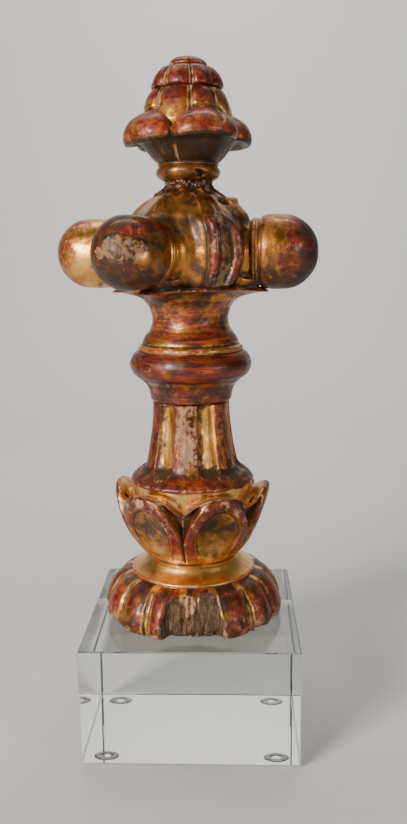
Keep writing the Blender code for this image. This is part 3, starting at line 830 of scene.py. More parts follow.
def shaft_zone(rows):
    """Six gilt channels with rounded lower ends, and flat worn ribs between them."""
    share = shares(rows)
    low = FLANGE_HEIGHT + 0.0080
    height = mix(low, SHAFT_TOP_HEIGHT + 0.0002, share)
    climb = np.clip((height - low) / (SHAFT_TOP_HEIGHT - low), 0.0, 1.0)
    radius = SHAFT_TOP_RADIUS + (SHAFT_BASE_RADIUS + 0.0016 - SHAFT_TOP_RADIUS) * (1.0 - climb) ** 1.9
    gouge, side, across = channel_cut(height)
    dents = cells(beta, height, 6.0, 0.006, 91)
    streak = cells(beta, height, 3.0, 0.014, 93)
    rag = cells(beta, height, 5.0, 0.008, 95)
    channel = smooth((1.02 - across) / 0.10)
    rib = 1.0 - channel
    centre_rib = near(beta, SEAM_TURN, 24.0)
    lit_side = smooth(0.5 + 2.0 * side)
    rounded = 0.0006 * smooth((np.abs(side) - 0.45) / 0.5)
    # Each channel is darkened on its side away from the light, and the shaft at its top under the
    # cavetto: painted shade.
    return zone(
        radius - gouge + rounded + 0.00018 * dents,
        height,
        bole=rib * (0.70 + 0.25 * rag + 0.2 * streak)
        + channel * (0.08 + 0.40 * smooth(1.0 - climb / 0.16)),
        gold=0.35 * rib + channel * (0.85 + 0.3 * streak),
        gesso=rib * (0.14 + 0.66 * centre_rib * smooth(0.3 + climb * 2.0))
        + rib * 0.42 * streak * (0.4 + centre_rib)
        + 0.25 * channel * lit_side * smooth((streak - 0.1) * 3.0) * smooth(1.0 - climb * 1.3),
        grime=0.08 + 0.45 * channel * (1.0 - lit_side) ** 2 + 0.5 * smooth((climb - 0.975) / 0.025),
        turned=0.0,
    )


FOOT_ROWS, COVE_ROWS, LEAF_ROWS, LEAF_BACK_ROWS, BODY_ROWS = 64, 26, 56, 14, 8
base_length = stack(
    [
        foot_zone(FOOT_ROWS),
        cove_zone(COVE_ROWS),
        leaf_zone(LEAF_ROWS),
        leaf_back_zone(LEAF_BACK_ROWS),
        body_zone(BODY_ROWS),
        flange_zone(14),
        shaft_zone(34),
    ]
)
finial_base = turned_blank("finial_base", base_length["radius"].shape[0], BASE_COLUMNS)
pale_creases = np.zeros((base_length["radius"].shape[0], 1))
behind = FOOT_ROWS + COVE_ROWS + LEAF_ROWS
pale_creases[behind:behind + LEAF_BACK_ROWS + BODY_ROWS] = 0.85
carve(finial_base, base_length, BASE_COLUMNS, pale=pale_creases)


def finish_length(piece):
    """Shades, paints and places one length of the finial and ties it to the frame."""
    piece.data.transform(Matrix.Translation((0.0, 0.0, FINIAL_BASE)))
    piece.data.materials.append(GILDING)
    piece.data.shade_smooth()
    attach(piece, "root")
    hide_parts("finial")


finish_length(finial_base)


# Middle length: cavetto, bead, scotia, plate, the knop with its straps and ball-ended arms,
# the shoulder and the broken neck. Turned and carved from the same piece of wood.
BEAD_RADIUS, BEAD_HEIGHT = 0.0293, 0.1248
SCOTIA_RADIUS, SCOTIA_HEIGHT = 0.0182, 0.1455
KNOP_HEIGHT, KNOP_TURN = 0.1767, 27.0
KNOP_RADIUS, KNOP_HALF_HEIGHT = 0.0305, 0.0158
PLATE_RADIUS, PLATE_LOBE = 0.0275, 0.0100
STRAP_TURN, STRAP_RISE, STRAP_HALF_ANGLE = 31.5, 0.0034, 15.5
SHOULDER_RADIUS, SHOULDER_HEIGHT = 0.0256, 0.1930
HIP_COUNT, HIP_RISE = 6, 0.0034
NECK_RADIUS, NECK_HEIGHT = 0.0106, 0.2072
ARM_NECK_RADIUS, ARM_RING_REACH = 0.0141, 0.0312
TUBE_LIMIT, TUBE_BLEND = 0.0315, 0.0050
ARMS = (
    ("right", 60.0, 0.0172, 0.0604),
    ("back", 120.0, 0.0165, 0.0612),
    ("left", 240.0, 0.0160, 0.0626),
    ("front", 300.0, 0.0161, 0.0606),
)
KNOP_COLUMNS = 400
beta = betas(KNOP_COLUMNS)


def cavetto_zone(rows):
    """Red cavetto under the bead, with a pale gilt fillet at its top."""
    share = shares(rows)
    under = BEAD_HEIGHT - SHAFT_TOP_HEIGHT
    radius, height = through(
        beside(SHAFT_TOP_RADIUS, SHAFT_TOP_HEIGHT, (-0.8, -0.4), (0.6, 0.2))
        + beside(SHAFT_TOP_RADIUS, SHAFT_TOP_HEIGHT + 0.18 * under, (1.4, 0.0))
        + beside(BEAD_RADIUS, SHAFT_TOP_HEIGHT + 0.42 * under, (-7.8, 0.0))
        + beside(BEAD_RADIUS, SHAFT_TOP_HEIGHT + 0.575 * under, (-5.2, 0.0))
        + beside(BEAD_RADIUS, SHAFT_TOP_HEIGHT + 0.61 * under, (-4.7, 0.0)),
        share,
    )
    dents = cells(beta, height, 18.0, 0.002, 101)
    fillet = smooth((share - 0.72) / 0.12)
    # Darker at its foot and up under the bead: painted shade.
    return zone(
        radius + 0.0002 * dents,
        height,
        bole=0.72 + 0.26 * dents - 0.40 * fillet,
        gold=0.30 + 0.30 * fillet,
        gesso=0.04 + 0.16 * smooth(dents * 2.0) + 0.20 * fillet,
        grime=0.44 + 0.35 * smooth(1.0 - share / 0.1) + 0.4 * smooth((share - 0.94) / 0.06),
        turned=1.0,
    )


def bead_zone(rows):
    """The red bead, rounder below and sloping above."""
    share = shares(rows)
    radius, height = through(
        beside(BEAD_RADIUS, BEAD_HEIGHT, (-4.7, -6.9), (-3.4, -6.2), (-1.6, -4.6), (-0.4, -2.4),
            (0.0, 0.0), (-0.7, 2.6), (-2.0, 4.7), (-3.6, 6.0), (-4.8, 6.3)),
        share,
    )
    dents = cells(beta, height, 16.0, 0.005, 111)
    rag = cells(beta, height, 18.0, 0.0022, 113)
    crest = bump_at(share, 0.45, 0.38)
    # Darker at its top and bottom edges, where it turns in: painted shade.
    return zone(
        radius + 0.00028 * dents,
        height,
        bole=0.84 + 0.16 * dents + 0.20 * rag,
        gold=0.34 + 0.3 * rag,
        gesso=0.02 + 0.22 * crest * smooth(rag * 2.0 + 0.1),
        grime=0.24 + 0.55 * smooth((np.abs(share - 0.5) * 2.0 - 0.84) / 0.12),
        turned=1.0,
    )


def scotia_zone(rows):
    """Gilt fillet over the bead and the deep red-gold scotia, flaring to the plate."""
    share = shares(rows)
    over = SCOTIA_HEIGHT - BEAD_HEIGHT
    radius, height = through(
        beside(BEAD_RADIUS, BEAD_HEIGHT, (-4.8, 6.3), (-4.2, 7.0), (-4.6, 8.4), (-6.0, 9.4), (-6.4, 10.8))
        + beside(SCOTIA_RADIUS, BEAD_HEIGHT + 0.64 * over, (3.4, 0.0))
        + beside(SCOTIA_RADIUS, BEAD_HEIGHT + 0.80 * over, (1.0, 0.0))
        + beside(SCOTIA_RADIUS, SCOTIA_HEIGHT, (0.0, 0.0), (0.6, 4.0), (2.0, 7.4), (4.2, 9.8)),
        share,
    )
    dents = cells(beta, height, 40.0, 0.0014, 121)
    patch = cells(beta, height, 26.0, 0.006, 122)
    fillet = 1.0 - smooth((share - 0.17) / 0.04)
    low = bump_at(share, 0.30, 0.14)
    # Darker toward its top, where it flares out under the plate, and at its foot: painted shade.
    return zone(
        radius + 0.00010 * dents + 0.0001 * patch,
        height,
        bole=0.60 + 0.24 * patch + 0.20 * dents + 0.30 * low - 0.4 * fillet,
        gold=0.55 + 0.25 * fillet + 0.2 * dents,
        gesso=0.04 * smooth(dents) + 0.20 * fillet + 0.06 * low,
        grime=0.27 + 0.30 * smooth((share - 0.78) / 0.22) + 0.5 * smooth(1.0 - share / 0.03),
        turned=1.0,
    )


def arm_share(beta):
    nearest = np.min([np.abs(offset_angle(beta, KNOP_TURN + arm[1])) for arm in ARMS], axis=0)
    return smooth(1.0 - nearest / 30.0)


def hip_share(beta):
    across = np.abs(offset_angle(beta, KNOP_TURN, 360.0 / HIP_COUNT)) / (180.0 / HIP_COUNT)
    return smooth(1.0 - across / 0.85)


def plate_zone(rows):
    """Underside and thin edge of the plate below the knop, wider under each arm."""
    share = shares(rows)
    lobe = arm_share(beta)
    low = KNOP_HEIGHT - KNOP_HALF_HEIGHT
    start = SCOTIA_RADIUS + 0.0042
    edge = PLATE_RADIUS + PLATE_LOBE * lobe
    out = np.minimum(share / 0.66, 1.0)
    turned = smooth((share - 0.66) / 0.34)
    radius = mix(start, edge, out) - 0.0010 * turned
    drop = 0.0012 * lobe
    height = mix(SCOTIA_HEIGHT + 0.0098, low - 0.0014 - drop, np.sin(out * math.pi / 2.0) ** 0.8)
    height = height + 0.0013 * turned
    dents = cells(beta, height, 14.0, 0.003, 127)
    # The underside is kept darker than the edge: painted shade.
    return zone(
        radius,
        height,
        bole=0.45 + 0.3 * dents,
        gold=0.45,
        gesso=0.06 + 0.42 * smooth((share - 0.58) / 0.1) * smooth(0.5 + dents),
        grime=0.35 - 0.3 * smooth((share - 0.58) / 0.1),
    )


def knop_zone(rows):
    """Body of the knop: coves between the arms, and the two double-ribbed straps."""
    share = shares(rows)
    low = KNOP_HEIGHT - KNOP_HALF_HEIGHT
    barrel, height = through(
        (
            (-0.0052, low),
            (-0.0030, low + 0.0022),
            (-0.0014, KNOP_HEIGHT - 0.55 * KNOP_HALF_HEIGHT),
            (-0.0004, KNOP_HEIGHT - 0.25 * KNOP_HALF_HEIGHT),
            (0.0, KNOP_HEIGHT + 0.05 * KNOP_HALF_HEIGHT),
            (-0.0004, KNOP_HEIGHT + 0.35 * KNOP_HALF_HEIGHT),
            (-0.0014, KNOP_HEIGHT + 0.62 * KNOP_HALF_HEIGHT),
            (-0.0029, KNOP_HEIGHT + 0.86 * KNOP_HALF_HEIGHT),
            (SHOULDER_RADIUS - KNOP_RADIUS, SHOULDER_HEIGHT),
        ),
        share,
    )
    level = (height - KNOP_HEIGHT) / KNOP_HALF_HEIGHT
    half_angle = STRAP_HALF_ANGLE - 4.0 * level ** 2
    strap_side = np.abs(offset_angle(beta, STRAP_TURN + 2.8 - 7.0 * level ** 2, 180.0))
    cove = KNOP_RADIUS - 0.0016 + 0.0024 * smooth(1.0 - (strap_side - STRAP_HALF_ANGLE) / 12.0)
    body = cove + barrel
    for arm in ARMS:
        aside = np.abs(offset_angle(beta, KNOP_TURN + arm[1]))
        half = np.sqrt(np.clip(ARM_NECK_RADIUS ** 2 - (height - KNOP_HEIGHT) ** 2, 0.0, None))
        tube = np.where(aside < 80.0, half / np.sin(np.radians(np.clip(aside, 15.0, 80.0))), 0.0)
        tube = np.minimum(tube, TUBE_LIMIT)
        blend = np.clip(0.5 + 0.5 * (tube - body) / TUBE_BLEND, 0.0, 1.0)
        body = mix(body, tube, blend) + TUBE_BLEND * blend * (1.0 - blend)
    lobe = arm_share(beta)
    filled = np.minimum(1.5 * lobe, 1.0)
    body = body + 0.9 * PLATE_LOBE * filled * smooth((0.20 - share) / 0.08)
    hips = HIP_RISE * 0.9 * hip_share(beta) * smooth((share - 0.55) / 0.45)
    across = strap_side / half_angle
    rib = np.sqrt(np.clip(1.0 - ((across - 0.68) / 0.32) ** 2, 0.0, 1.0))
    groove = smooth((0.40 - across) / 0.08)
    ends = smooth(share / 0.08) * mix(1.0, 0.55, smooth((share - 0.86) / 0.14))
    rise = (STRAP_RISE * rib + 0.0007 * groove) * ends
    dents = cells(beta, height, 10.0, 0.007, 131)
    rag = cells(beta, height, 7.0, 0.004, 133)
    strap_edge = bump_at(across, 1.02, 0.12)
    top = smooth((level - 0.35) / 0.5)
    # The gold mask peaks at mid-height and the dark mask rises toward the top and bottom and along the
    # feet of the straps: a painted highlight across the coves, with painted shade above, below and beside
    # the straps.
    return zone(
        body + hips + rise + 0.00018 * dents,
        height,
        bole=0.14 + 0.14 * dents + rib * (0.84 + 0.22 * rag) + 0.20 * top * smooth(rag * 2.0),
        gold=0.50 - 0.35 * level ** 2 - 0.40 * groove - 0.20 * rib,
        gesso=rib * (0.02 + 0.34 * smooth(rag * 2.5 - 0.2)) + 0.80 * groove * smooth(dents + 0.8),
        grime=0.33 + 0.40 * groove + 0.36 * strap_edge + 0.34 * top * (1.0 - 0.5 * rib)
        + 0.40 * smooth((-level - 0.40) / 0.5) * (1.0 - 0.6 * rib),
    )


def shoulder_zone(rows):
    """Sloping gores with soft hips, up to the neck, with chipped wood at their top."""
    share = shares(rows)
    radius, height = through(
        between((NECK_RADIUS, SHOULDER_HEIGHT), (SHOULDER_RADIUS, NECK_HEIGHT),
            (1.0, 0.0), (0.82, 0.20), (0.60, 0.44), (0.25, 0.76), (0.03, 0.95), (0.0, 1.0)),
        share,
    )
    hips = HIP_RISE * 0.9 * hip_share(beta) * smooth((0.86 - share) / 0.6)
    side = offset_angle(beta, STRAP_TURN - 6.2 - 2.5 * share, 180.0)
    half_angle = 11.5 + 1.5 * share
    across = np.abs(side) / half_angle
    crest = bump_at(across, 0.88, 0.20) * smooth((0.80 - share) / 0.25)
    gutter = smooth((0.70 - across) / 0.3) * smooth((0.80 - share) / 0.25)
    dents = cells(beta, height, 12.0, 0.004, 141)
    rough = cells(beta, height, 9.0, 0.0022, 142, layers=4)
    torn = smooth((share - 0.58 + 0.10 * dents) / 0.16)
    flake = bell(beta, 98.0, 15.0) * bump_at(share, 0.50, 0.17)
    hole = bell(beta, 58.0, 9.0) * bump_at(share, 0.42, 0.14)
    radius = radius + hips + 0.0007 * crest - 0.0004 * gutter + 0.0002 * dents
    radius = radius + 0.0015 * rough * torn + 0.0026 * flake - 0.0026 * hole
    height = height + 0.0012 * flake - 0.0008 * hole + 0.0005 * rough * torn
    chips = smooth(rough * 2.5 - 0.1) * torn
    # The left side of the shoulder gets brighter gold, more red and less dark: painted light where that
    # side is lit.
    left = near(beta, -62.0, 34.0) * (1.0 - torn)
    return zone(
        radius,
        height,
        bole=0.12 + 0.16 * dents + 0.20 * left,
        gold=0.44 - 0.20 * torn + 0.4 * left + 0.3 * crest,
        gesso=0.04 + 0.30 * chips + 0.20 * flake + 0.10 * crest,
        grime=0.36 + 0.34 * torn + 0.5 * hole - 0.20 * crest - 0.25 * left - 0.3 * chips,
        bare=0.20 * torn + 0.20 * chips,
    )


def neck_zone(rows):
    """Broken and mended neck: crumbling wood and filler up into the collar."""
    share = shares(rows)
    height = mix(NECK_HEIGHT, NECK_HEIGHT + 0.0034, share)
    rough = cells(beta, height, 11.0, 0.0018, 151, layers=4)
    sharp = np.abs(cells(beta, height, 16.0, 0.0024, 153, layers=3))
    radius = NECK_RADIUS + 0.0016 * rough - 0.0012 * sharp + 0.0030 * smooth((share - 0.45) / 0.55)
    chips = smooth(rough * 3.0)
    return zone(
        radius,
        height + 0.0004 * rough,
        bole=0.25,
        gold=0.35,
        gesso=0.04 + 0.34 * chips,
        grime=0.74 - 0.40 * chips,
        bare=0.20 + 0.15 * chips,
    )


def eased(length, first, last, rounds=10):
    """Rounds off a hard line, in shape and in finish, across a few rows of a length."""
    for key in length:
        rows = length[key].copy()
        for _ in range(rounds):
            neighbours = rows[first - 1:last - 1] + rows[first + 1:last + 1]
            rows[first:last] = 0.5 * rows[first:last] + 0.25 * neighbours
        length[key] = rows
    return length


knop_length = stack(
    [
        cavetto_zone(20),
        bead_zone(30),
        scotia_zone(40),
        plate_zone(14),
        knop_zone(40),
        shoulder_zone(34),
        neck_zone(12),
    ]
)
finial_knop = turned_blank("finial_knop", knop_length["radius"].shape[0], KNOP_COLUMNS)
SHOULDER_ROW = 20 + 30 + 40 + 14 + 40
carve(finial_knop, eased(knop_length, SHOULDER_ROW - 8, SHOULDER_ROW + 10), KNOP_COLUMNS)

ARM_COLUMNS, ARM_ROWS = 96, 64


def arm_zone(arm_name, ball, reach):
    """One arm, turned about its own axis: gilt neck, double ring line and ball."""
    share = shares(ARM_ROWS)
    root = ARM_RING_REACH
    radius, along = through(
        beside(ARM_NECK_RADIUS, 0.0, (-4.0, 16.0), (-1.0, 24.0))
        + beside(ARM_NECK_RADIUS, root, (0.1, -2.6))
        + beside(ball, root, (-2.1, -1.6), (-1.2, -0.9), (-2.1, -0.2), (-1.2, 0.6), (-2.2, 1.4),
            (-0.8, 3.0), (-0.1, 7.0))
        + between((0.0, reach), (ball, reach - ball),
            (1.0, 0.96), (0.955, 0.68), (0.83, 0.43), (0.62, 0.21), (0.34, 0.055))
        + beside(0.0, reach, (0.3, 0.0)),
        share,
    )
    seed = 161 + 10 * [arm[0] for arm in ARMS].index(arm_name)
    around = betas(ARM_COLUMNS)
    dents = patches(radius, around, along, 0.009, seed)
    fine = patches(radius, around, along, 0.0035, seed + 1)
    on_ball = smooth((along - root - 0.0022) / 0.001)
    ring_line = bump_at(along, root - 0.0002, 0.0022)
    tip = smooth((along - reach + 1.15 * ball) / ball)
    # Darker toward the underside of each arm: painted shade.
    under = smooth(-0.25 - 1.1 * np.cos(np.radians(around)))
    bole = on_ball * (0.16 + 0.34 * dents + 0.42 * tip + 0.20 * fine)
    bole = bole + (1.0 - on_ball) * (0.10 + 0.15 * dents)
    gold = 0.85 - 0.25 * tip + 0.2 * fine
    gesso = 0.03 + 0.20 * ring_line * smooth(0.3 + fine) + 0.10 * on_ball * smooth(fine * 2.0 - 0.6)
    grime = 0.06 + 0.25 * smooth(dents * -2.0 - 0.4) * on_ball + 0.30 * under
    lift = 0.00022 * dents * on_ball
    sideways = radius / ball * np.sin(np.radians(around))
    upwards = radius / ball * np.cos(np.radians(around))
    if arm_name == "front":
        tip_side = smooth((along - reach + ball) / 0.002)
        ragged = 0.16 * fine + 0.10 * dents
        from_loss = np.hypot((sideways - 0.40) / 0.52, (upwards - 0.16 + 0.10 * sideways) / 0.34) + ragged
        from_lobe = np.hypot((sideways + 0.14) / 0.17, (upwards + 0.02) / 0.20) + ragged
        loss = np.maximum(smooth((1.0 - from_loss) / 0.10), smooth((1.0 - from_lobe) / 0.12)) * tip_side
        crack = bump_at(from_loss, 1.10, 0.10) * smooth((upwards - 0.20) / 0.12) * tip_side
        lift = lift - 0.00045 * loss - 0.0007 * crack
        red_patch = smooth(1.25 - np.hypot((sideways - 0.74) / 0.30, (upwards - 0.64) / 0.24)) * on_ball
        # A painted highlight on the front ball: brighter gold there, with no grime and no gesso.
        painted_highlight = smooth(1.2 - np.hypot((sideways - 0.86) / 0.12, (upwards + 0.08) / 0.22))
        gold = gold - 0.45 + 0.8 * painted_highlight
        bole = bole - 0.22
        pinker = smooth(1.0 - (sideways + 0.05) / 0.5)
        gesso = gesso * (1.0 - painted_highlight) + (0.58 + 0.26 * pinker) * loss
        grime = grime + 0.9 * crack + 0.36 * on_ball + loss * (0.50 - 0.15 * pinker)
        grime = grime - 0.5 * red_patch - 0.4 * painted_highlight
        # Darker toward the ball's lower side: painted shade.
        grime = grime + 0.25 * smooth((-0.35 - upwards) / 0.4) * on_ball
        low_right = smooth((-0.2 - upwards) / 0.3) * smooth((sideways - 0.2) / 0.4)
        bole = bole + 1.1 * red_patch + 0.35 * low_right
    if arm_name == "right":
        bole = bole + 0.60 * smooth((along - 0.0420 + 0.005 * fine) / 0.014)
        # The right ball is duller and darker all over, more toward its far end and on its lower side:
        # painted shade on the side turned from the light.
        gold = gold - 0.32
        grime = grime + 0.30 + 0.34 * smooth((along - 0.0490) / 0.008) + 0.4 * smooth(-0.1 - upwards)
        scratch = 0.0
        for centre, start in ((75.0, 0.046), (58.0, 0.050), (96.0, 0.052)):
            line = along - 0.00035 * (around - centre)
            scratch = scratch + bump_at(line, start, 0.0005) * bump_at(around, centre, 16.0)
        lift = lift - 0.0002 * scratch
        gesso = gesso + 0.7 * scratch
    if arm_name == "left":
        # More worn gesso shows on the left ball, and it is kept lighter than the others: painted light on
        # its lit side.
        gesso = gesso + 0.10 * on_ball
        grime = grime - 0.15
    return zone(radius + lift, along, bole=bole, gold=gold, gesso=gesso, grime=grime)


def laid_out_arm(arm):
    """Turns an arm upright, then lays it out from the middle of the knop, seam upwards."""
    arm_name, arm_turn, ball, reach = arm
    shape = arm_zone(arm_name, ball, reach)
    piece = turned_blank("arm_" + arm_name, ARM_ROWS, ARM_COLUMNS)
    carve(piece, shape, ARM_COLUMNS)
    direction = math.radians(KNOP_TURN + arm_turn)
    outward = Vector((math.sin(direction), -math.cos(direction), 0.0))
    upward = Vector((0.0, 0.0, 1.0))
    aside = upward.cross(outward)
    lay = Matrix((aside, -upward, outward)).transposed().to_4x4()
    piece.data.transform(Matrix.Translation((0.0, 0.0, KNOP_HEIGHT)) @ lay)
    return piece


def join_into(piece, other):
    """Joins another carved form into a piece with a Boolean union."""
    union = piece.modifiers.new("join", "BOOLEAN")
    union.operation = "UNION"
    union.solver = "EXACT"
    union.object = other
    bpy.ops.object.select_all(action="DESELECT")
    bpy.context.view_layer.objects.active = piece
    piece.select_set(True)
    bpy.ops.object.modifier_apply(modifier=union.name)
    bpy.data.objects.remove(other, do_unlink=True)


def finish_of(pieces):
    """The places of all vertices of some pieces, and their finish masks."""
    places, masks = [], {key: [] for key in FINISH}
    for piece in pieces:
        mesh = piece.data
        places.append(spots_of(mesh))
        for key in FINISH:
            values = np.zeros(len(mesh.vertices))
            mesh.attributes[key].data.foreach_get("value", values)
            masks[key].append(values)
    return np.concatenate(places), {key: np.concatenate(masks[key]) for key in FINISH}


def lay_finish(piece, places, masks):
    """Gives each vertex of a joined piece the finish of the nearest vertex before the join."""
    tree = KDTree(len(places))
    for index, spot in enumerate(places):
        tree.insert(spot, index)
    tree.balance()
    nearest = [tree.find(vertex.co)[1] for vertex in piece.data.vertices]
    for key in FINISH:
        values = masks[key][nearest].astype(np.float32)
        piece.data.attributes[key].data.foreach_set("value", values)


arm_pieces = [laid_out_arm(arm) for arm in ARMS]
before_join = finish_of([finial_knop] + arm_pieces)
for arm_piece in arm_pieces:
    join_into(finial_knop, arm_piece)
lay_finish(finial_knop, *before_join)
finish_length(finial_knop)


# Top length: collar, calyx, four curled petals, two tiers of scales and the cap.
# The bud was broken off at the neck and set back; its calyx keeps a dark brown patina.
COLLAR_RADIUS, COLLAR_HEIGHT = 0.0149, 0.2127
CALYX_RADIUS, CALYX_HEIGHT = 0.0206, 0.2246
PETAL_TURN, PETAL_REACH = 30.0, 0.0303
SCALE_COUNT, SCALE_GROOVE = 8, 0.0014
LOWER_TIER_TURN, UPPER_TIER_TURN = 26.5, 32.5
LOWER_TIER_RADIUS, UPPER_TIER_RADIUS = 0.0196, 0.0159
CAP_RADIUS, BUD_TOP = 0.0088, 0.2636
BUD_COLUMNS = 400
beta = betas(BUD_COLUMNS)


def collar_zone(rows):
    """Round bronze-gold collar with a black crack at the front."""
    share = shares(rows)
    radius, height = through(
        beside(NECK_RADIUS, COLLAR_HEIGHT, (0.4, -3.6))
        + beside(COLLAR_RADIUS, COLLAR_HEIGHT, (-2.8, -3.2), (-0.8, -1.8), (0.0, 0.0), (-0.4, 1.8),
            (-1.4, 2.8), (-0.5, 3.4), (-1.2, 4.1)),
        share,
    )
    dents = cells(beta, height, 20.0, 0.003, 201)
    curl = offset_angle(beta, 20.0 + 9.0 * np.sin((share - 0.15) * 8.0))
    crack = np.exp(-(curl / 6.0) ** 2) * bump_at(share, 0.38, 0.27)
    broken = near(beta, 52.0, 34.0) * smooth(1.0 - share / 0.42)
    torn = cells(beta, height, 8.0, 0.001, 203, layers=4) * smooth(1.0 - share / 0.26)
    # Darker toward its top and bottom, where it turns in: painted shade. The crack and the broken part
    # are dark in themselves.
    return zone(
        radius + 0.0002 * dents - 0.0024 * crack + 0.0009 * torn - 0.0016 * broken * smooth(torn + 0.5),
        height + 0.0007 * torn,
        bole=0.16 + 0.12 * dents,
        gold=0.40,
        gesso=0.03 + 0.15 * smooth(torn * 3.0),
        grime=0.50 + 0.9 * crack + 0.55 * broken + 0.30 * smooth(np.abs(share - 0.45) * 2.4 - 0.6),
        turned=0.85,
    )


def calyx_zone(rows):
    """Plain dark cup below the petals, with a fine groove between each two."""
    share = shares(rows)
    radius, height = through(
        beside(COLLAR_RADIUS, COLLAR_HEIGHT, (-1.2, 4.1), (1.4, 6.4), (3.6, 9.2))
        + beside(CALYX_RADIUS, CALYX_HEIGHT, (0.0, 0.0)),
        share,
    )
    across = np.abs(offset_angle(beta, PETAL_TURN, 90.0)) / 45.0
    groove = bump_at(across, 1.0, 0.070)
    dents = cells(beta, height, 16.0, 0.006, 211)
    plump = 0.0006 * (1.0 - across ** 2) * share
    return zone(
        radius - 0.0006 * groove + plump + 0.00015 * dents,
        height,
        bole=0.05,
        gold=0.20,
        gesso=0.01 + 1.1 * smooth(groove * 2.2),
        grime=0.98 - 0.08 * dents - 0.40 * groove,
    )


def petal_zone(rows):
    """Four big petals, curled out and over, with deep notches between and a nick in one."""
    share = shares(rows)
    full_radius, full_height = through(
        beside(CALYX_RADIUS, CALYX_HEIGHT, (0.0, 0.0), (2.6, 1.7), (4.8, 2.1))
        + beside(PETAL_REACH, CALYX_HEIGHT, (-3.0, 0.4), (-1.4, -0.1), (-0.3, 1.4), (0.0, 3.8),
            (-0.8, 6.8), (-2.8, 9.8), (-6.2, 12.4), (-9.2, 13.8))
        + beside(LOWER_TIER_RADIUS, CALYX_HEIGHT, (0.2, 14.2)),
        share,
    )
    low_radius, low_height = through(
        beside(CALYX_RADIUS, CALYX_HEIGHT, (0.0, 0.0), (0.8, 1.6), (1.6, 3.8), (1.2, 5.0),
            (0.8, 6.0)),
        share,
    )
    uneven = beta + 9.0 * near(beta, 66.0, 50.0)
    across = np.abs(offset_angle(uneven, PETAL_TURN, 90.0)) / 45.0
    out = np.sqrt(np.clip(1.0 - np.clip((across - 0.10) / 0.90, 0.0, 1.0) ** 2.0, 0.0, 1.0))
    lip = 0.0017 * near(beta, 25.0, 75.0)
    lip = lip - 0.0010 * near(beta, -62.0, 55.0)
    full_height = full_height + lip * bump_at(share, 0.30, 0.36)
    radius = mix(low_radius, full_radius, out)
    height = mix(low_height, full_height, out)
    dents = cells(beta, height, 9.0, 0.004, 221)
    rag = cells(beta, height, 6.0, 0.003, 223)
    top = smooth((share - 0.36) / 0.08)
    top_row = smooth((share - 0.44) / 0.08)
    nick_width = 1.6 + 11.0 * np.clip(share - 0.60, 0.0, 0.3)
    nick = bell(beta, 34.0 + 18.0 * (share - 0.6), nick_width)
    nick = nick * smooth((share - 0.56) / 0.06) * smooth((0.97 - share) / 0.04)
    notch_line = smooth((across - 0.90) / 0.08) * top_row
    radius = radius + 0.0003 * dents - 0.0014 * nick
    height = height - 0.0006 * nick
    edge = bump_at(share, 0.42, 0.10)
    upper = smooth((share - 0.80) / 0.12)
    # The undersides below the curled lips are darkened by dark patina and by painted shade; the notches
    # between the petals and their upper ends toward the tier get painted shade too.
    return zone(
        radius,
        height,
        bole=top * (0.82 + 0.20 * dents + 0.22 * rag) + 0.2 * (1.0 - top),
        gold=0.45 * top + 0.10 + 0.25 * smooth(rag * 2.0),
        gesso=top * (0.02 + 0.16 * smooth(rag * 2.0 - 0.2))
        + 0.12 * edge + 0.62 * nick + 0.16 * upper + 0.35 * notch_line,
        grime=0.90 * (1.0 - top) + 0.25 * smooth(across * 5.0 - 4.2)
        + 0.22 * upper + 0.45 * nick + 0.10 * top,
    )


def tier_zone(rows, outline, scale_turn, seed, skirt=0.0, moved=()):
    """A tier of eight rounded scales with pale grooves between them.

    A skirt lets the tier's foot run down between the petals below it.
    Each pair in moved is the angle of a groove and how far it is cut off its even place."""
    share = shares(rows)
    radius, height = through(outline, share)
    gap = smooth((np.abs(offset_angle(beta, PETAL_TURN, 90.0)) / 45.0 - 0.35) / 0.65)
    drop = skirt * gap * (1.0 - share) ** 1.4
    height = height - drop
    radius = radius + 0.20 * drop
    spacing = 360.0 / SCALE_COUNT
    wander = 1.8 * cells(beta, height, 45.0, 0.03, seed)
    for groove_angle, shift in moved:
        wander = wander - shift * near(beta, groove_angle, 28.0)
    across = np.abs(offset_angle(beta + wander, scale_turn, spacing)) / (spacing / 2.0)
    cut = bump_at(across, 1.0, 0.11)
    ridge = bump_at(across, 0.86, 0.09)
    ends = smooth(share / 0.12) * smooth((1.04 - share) / 0.14)
    dents = cells(beta, height, 8.0, 0.004, seed + 1)
    rag = cells(beta, height, 6.0, 0.0025, seed + 3)
    domed = 0.0007 * (1.0 - np.minimum(across / 0.8, 1.0) ** 2) * ends
    radius = radius - (0.45 * SCALE_GROOVE + 0.0007 * cut) * smooth((across - 0.62) / 0.24)
    radius = radius + domed + 0.00035 * ridge * ends + 0.0002 * dents
    line = np.maximum(bump_at(across, 0.90, 0.12), cut * 0.7)
    low = smooth((0.62 - share) / 0.5) * skirt / 0.0082
    foot = smooth(1.0 - share / 0.16)
    face = 1.0 - line
    # Darker at the foot of each tier, in the grooves and at its top edge: painted shade; the grooves also
    # keep pale filler.
    return zone(
        radius,
        height,
        bole=(0.84 + 0.20 * dents + 0.22 * rag - 0.42 * low) * face * (1.0 - 0.7 * foot),
        gold=0.40 + 0.45 * low + 0.25 * rag,
        gesso=0.78 * line * smooth(0.8 + dents) + 0.04 * smooth(rag) + 0.30 * foot * smooth(0.5 + rag),
        grime=0.10 + 0.30 * foot + 0.34 * line + 0.4 * smooth((share - 0.92) / 0.08),
    )


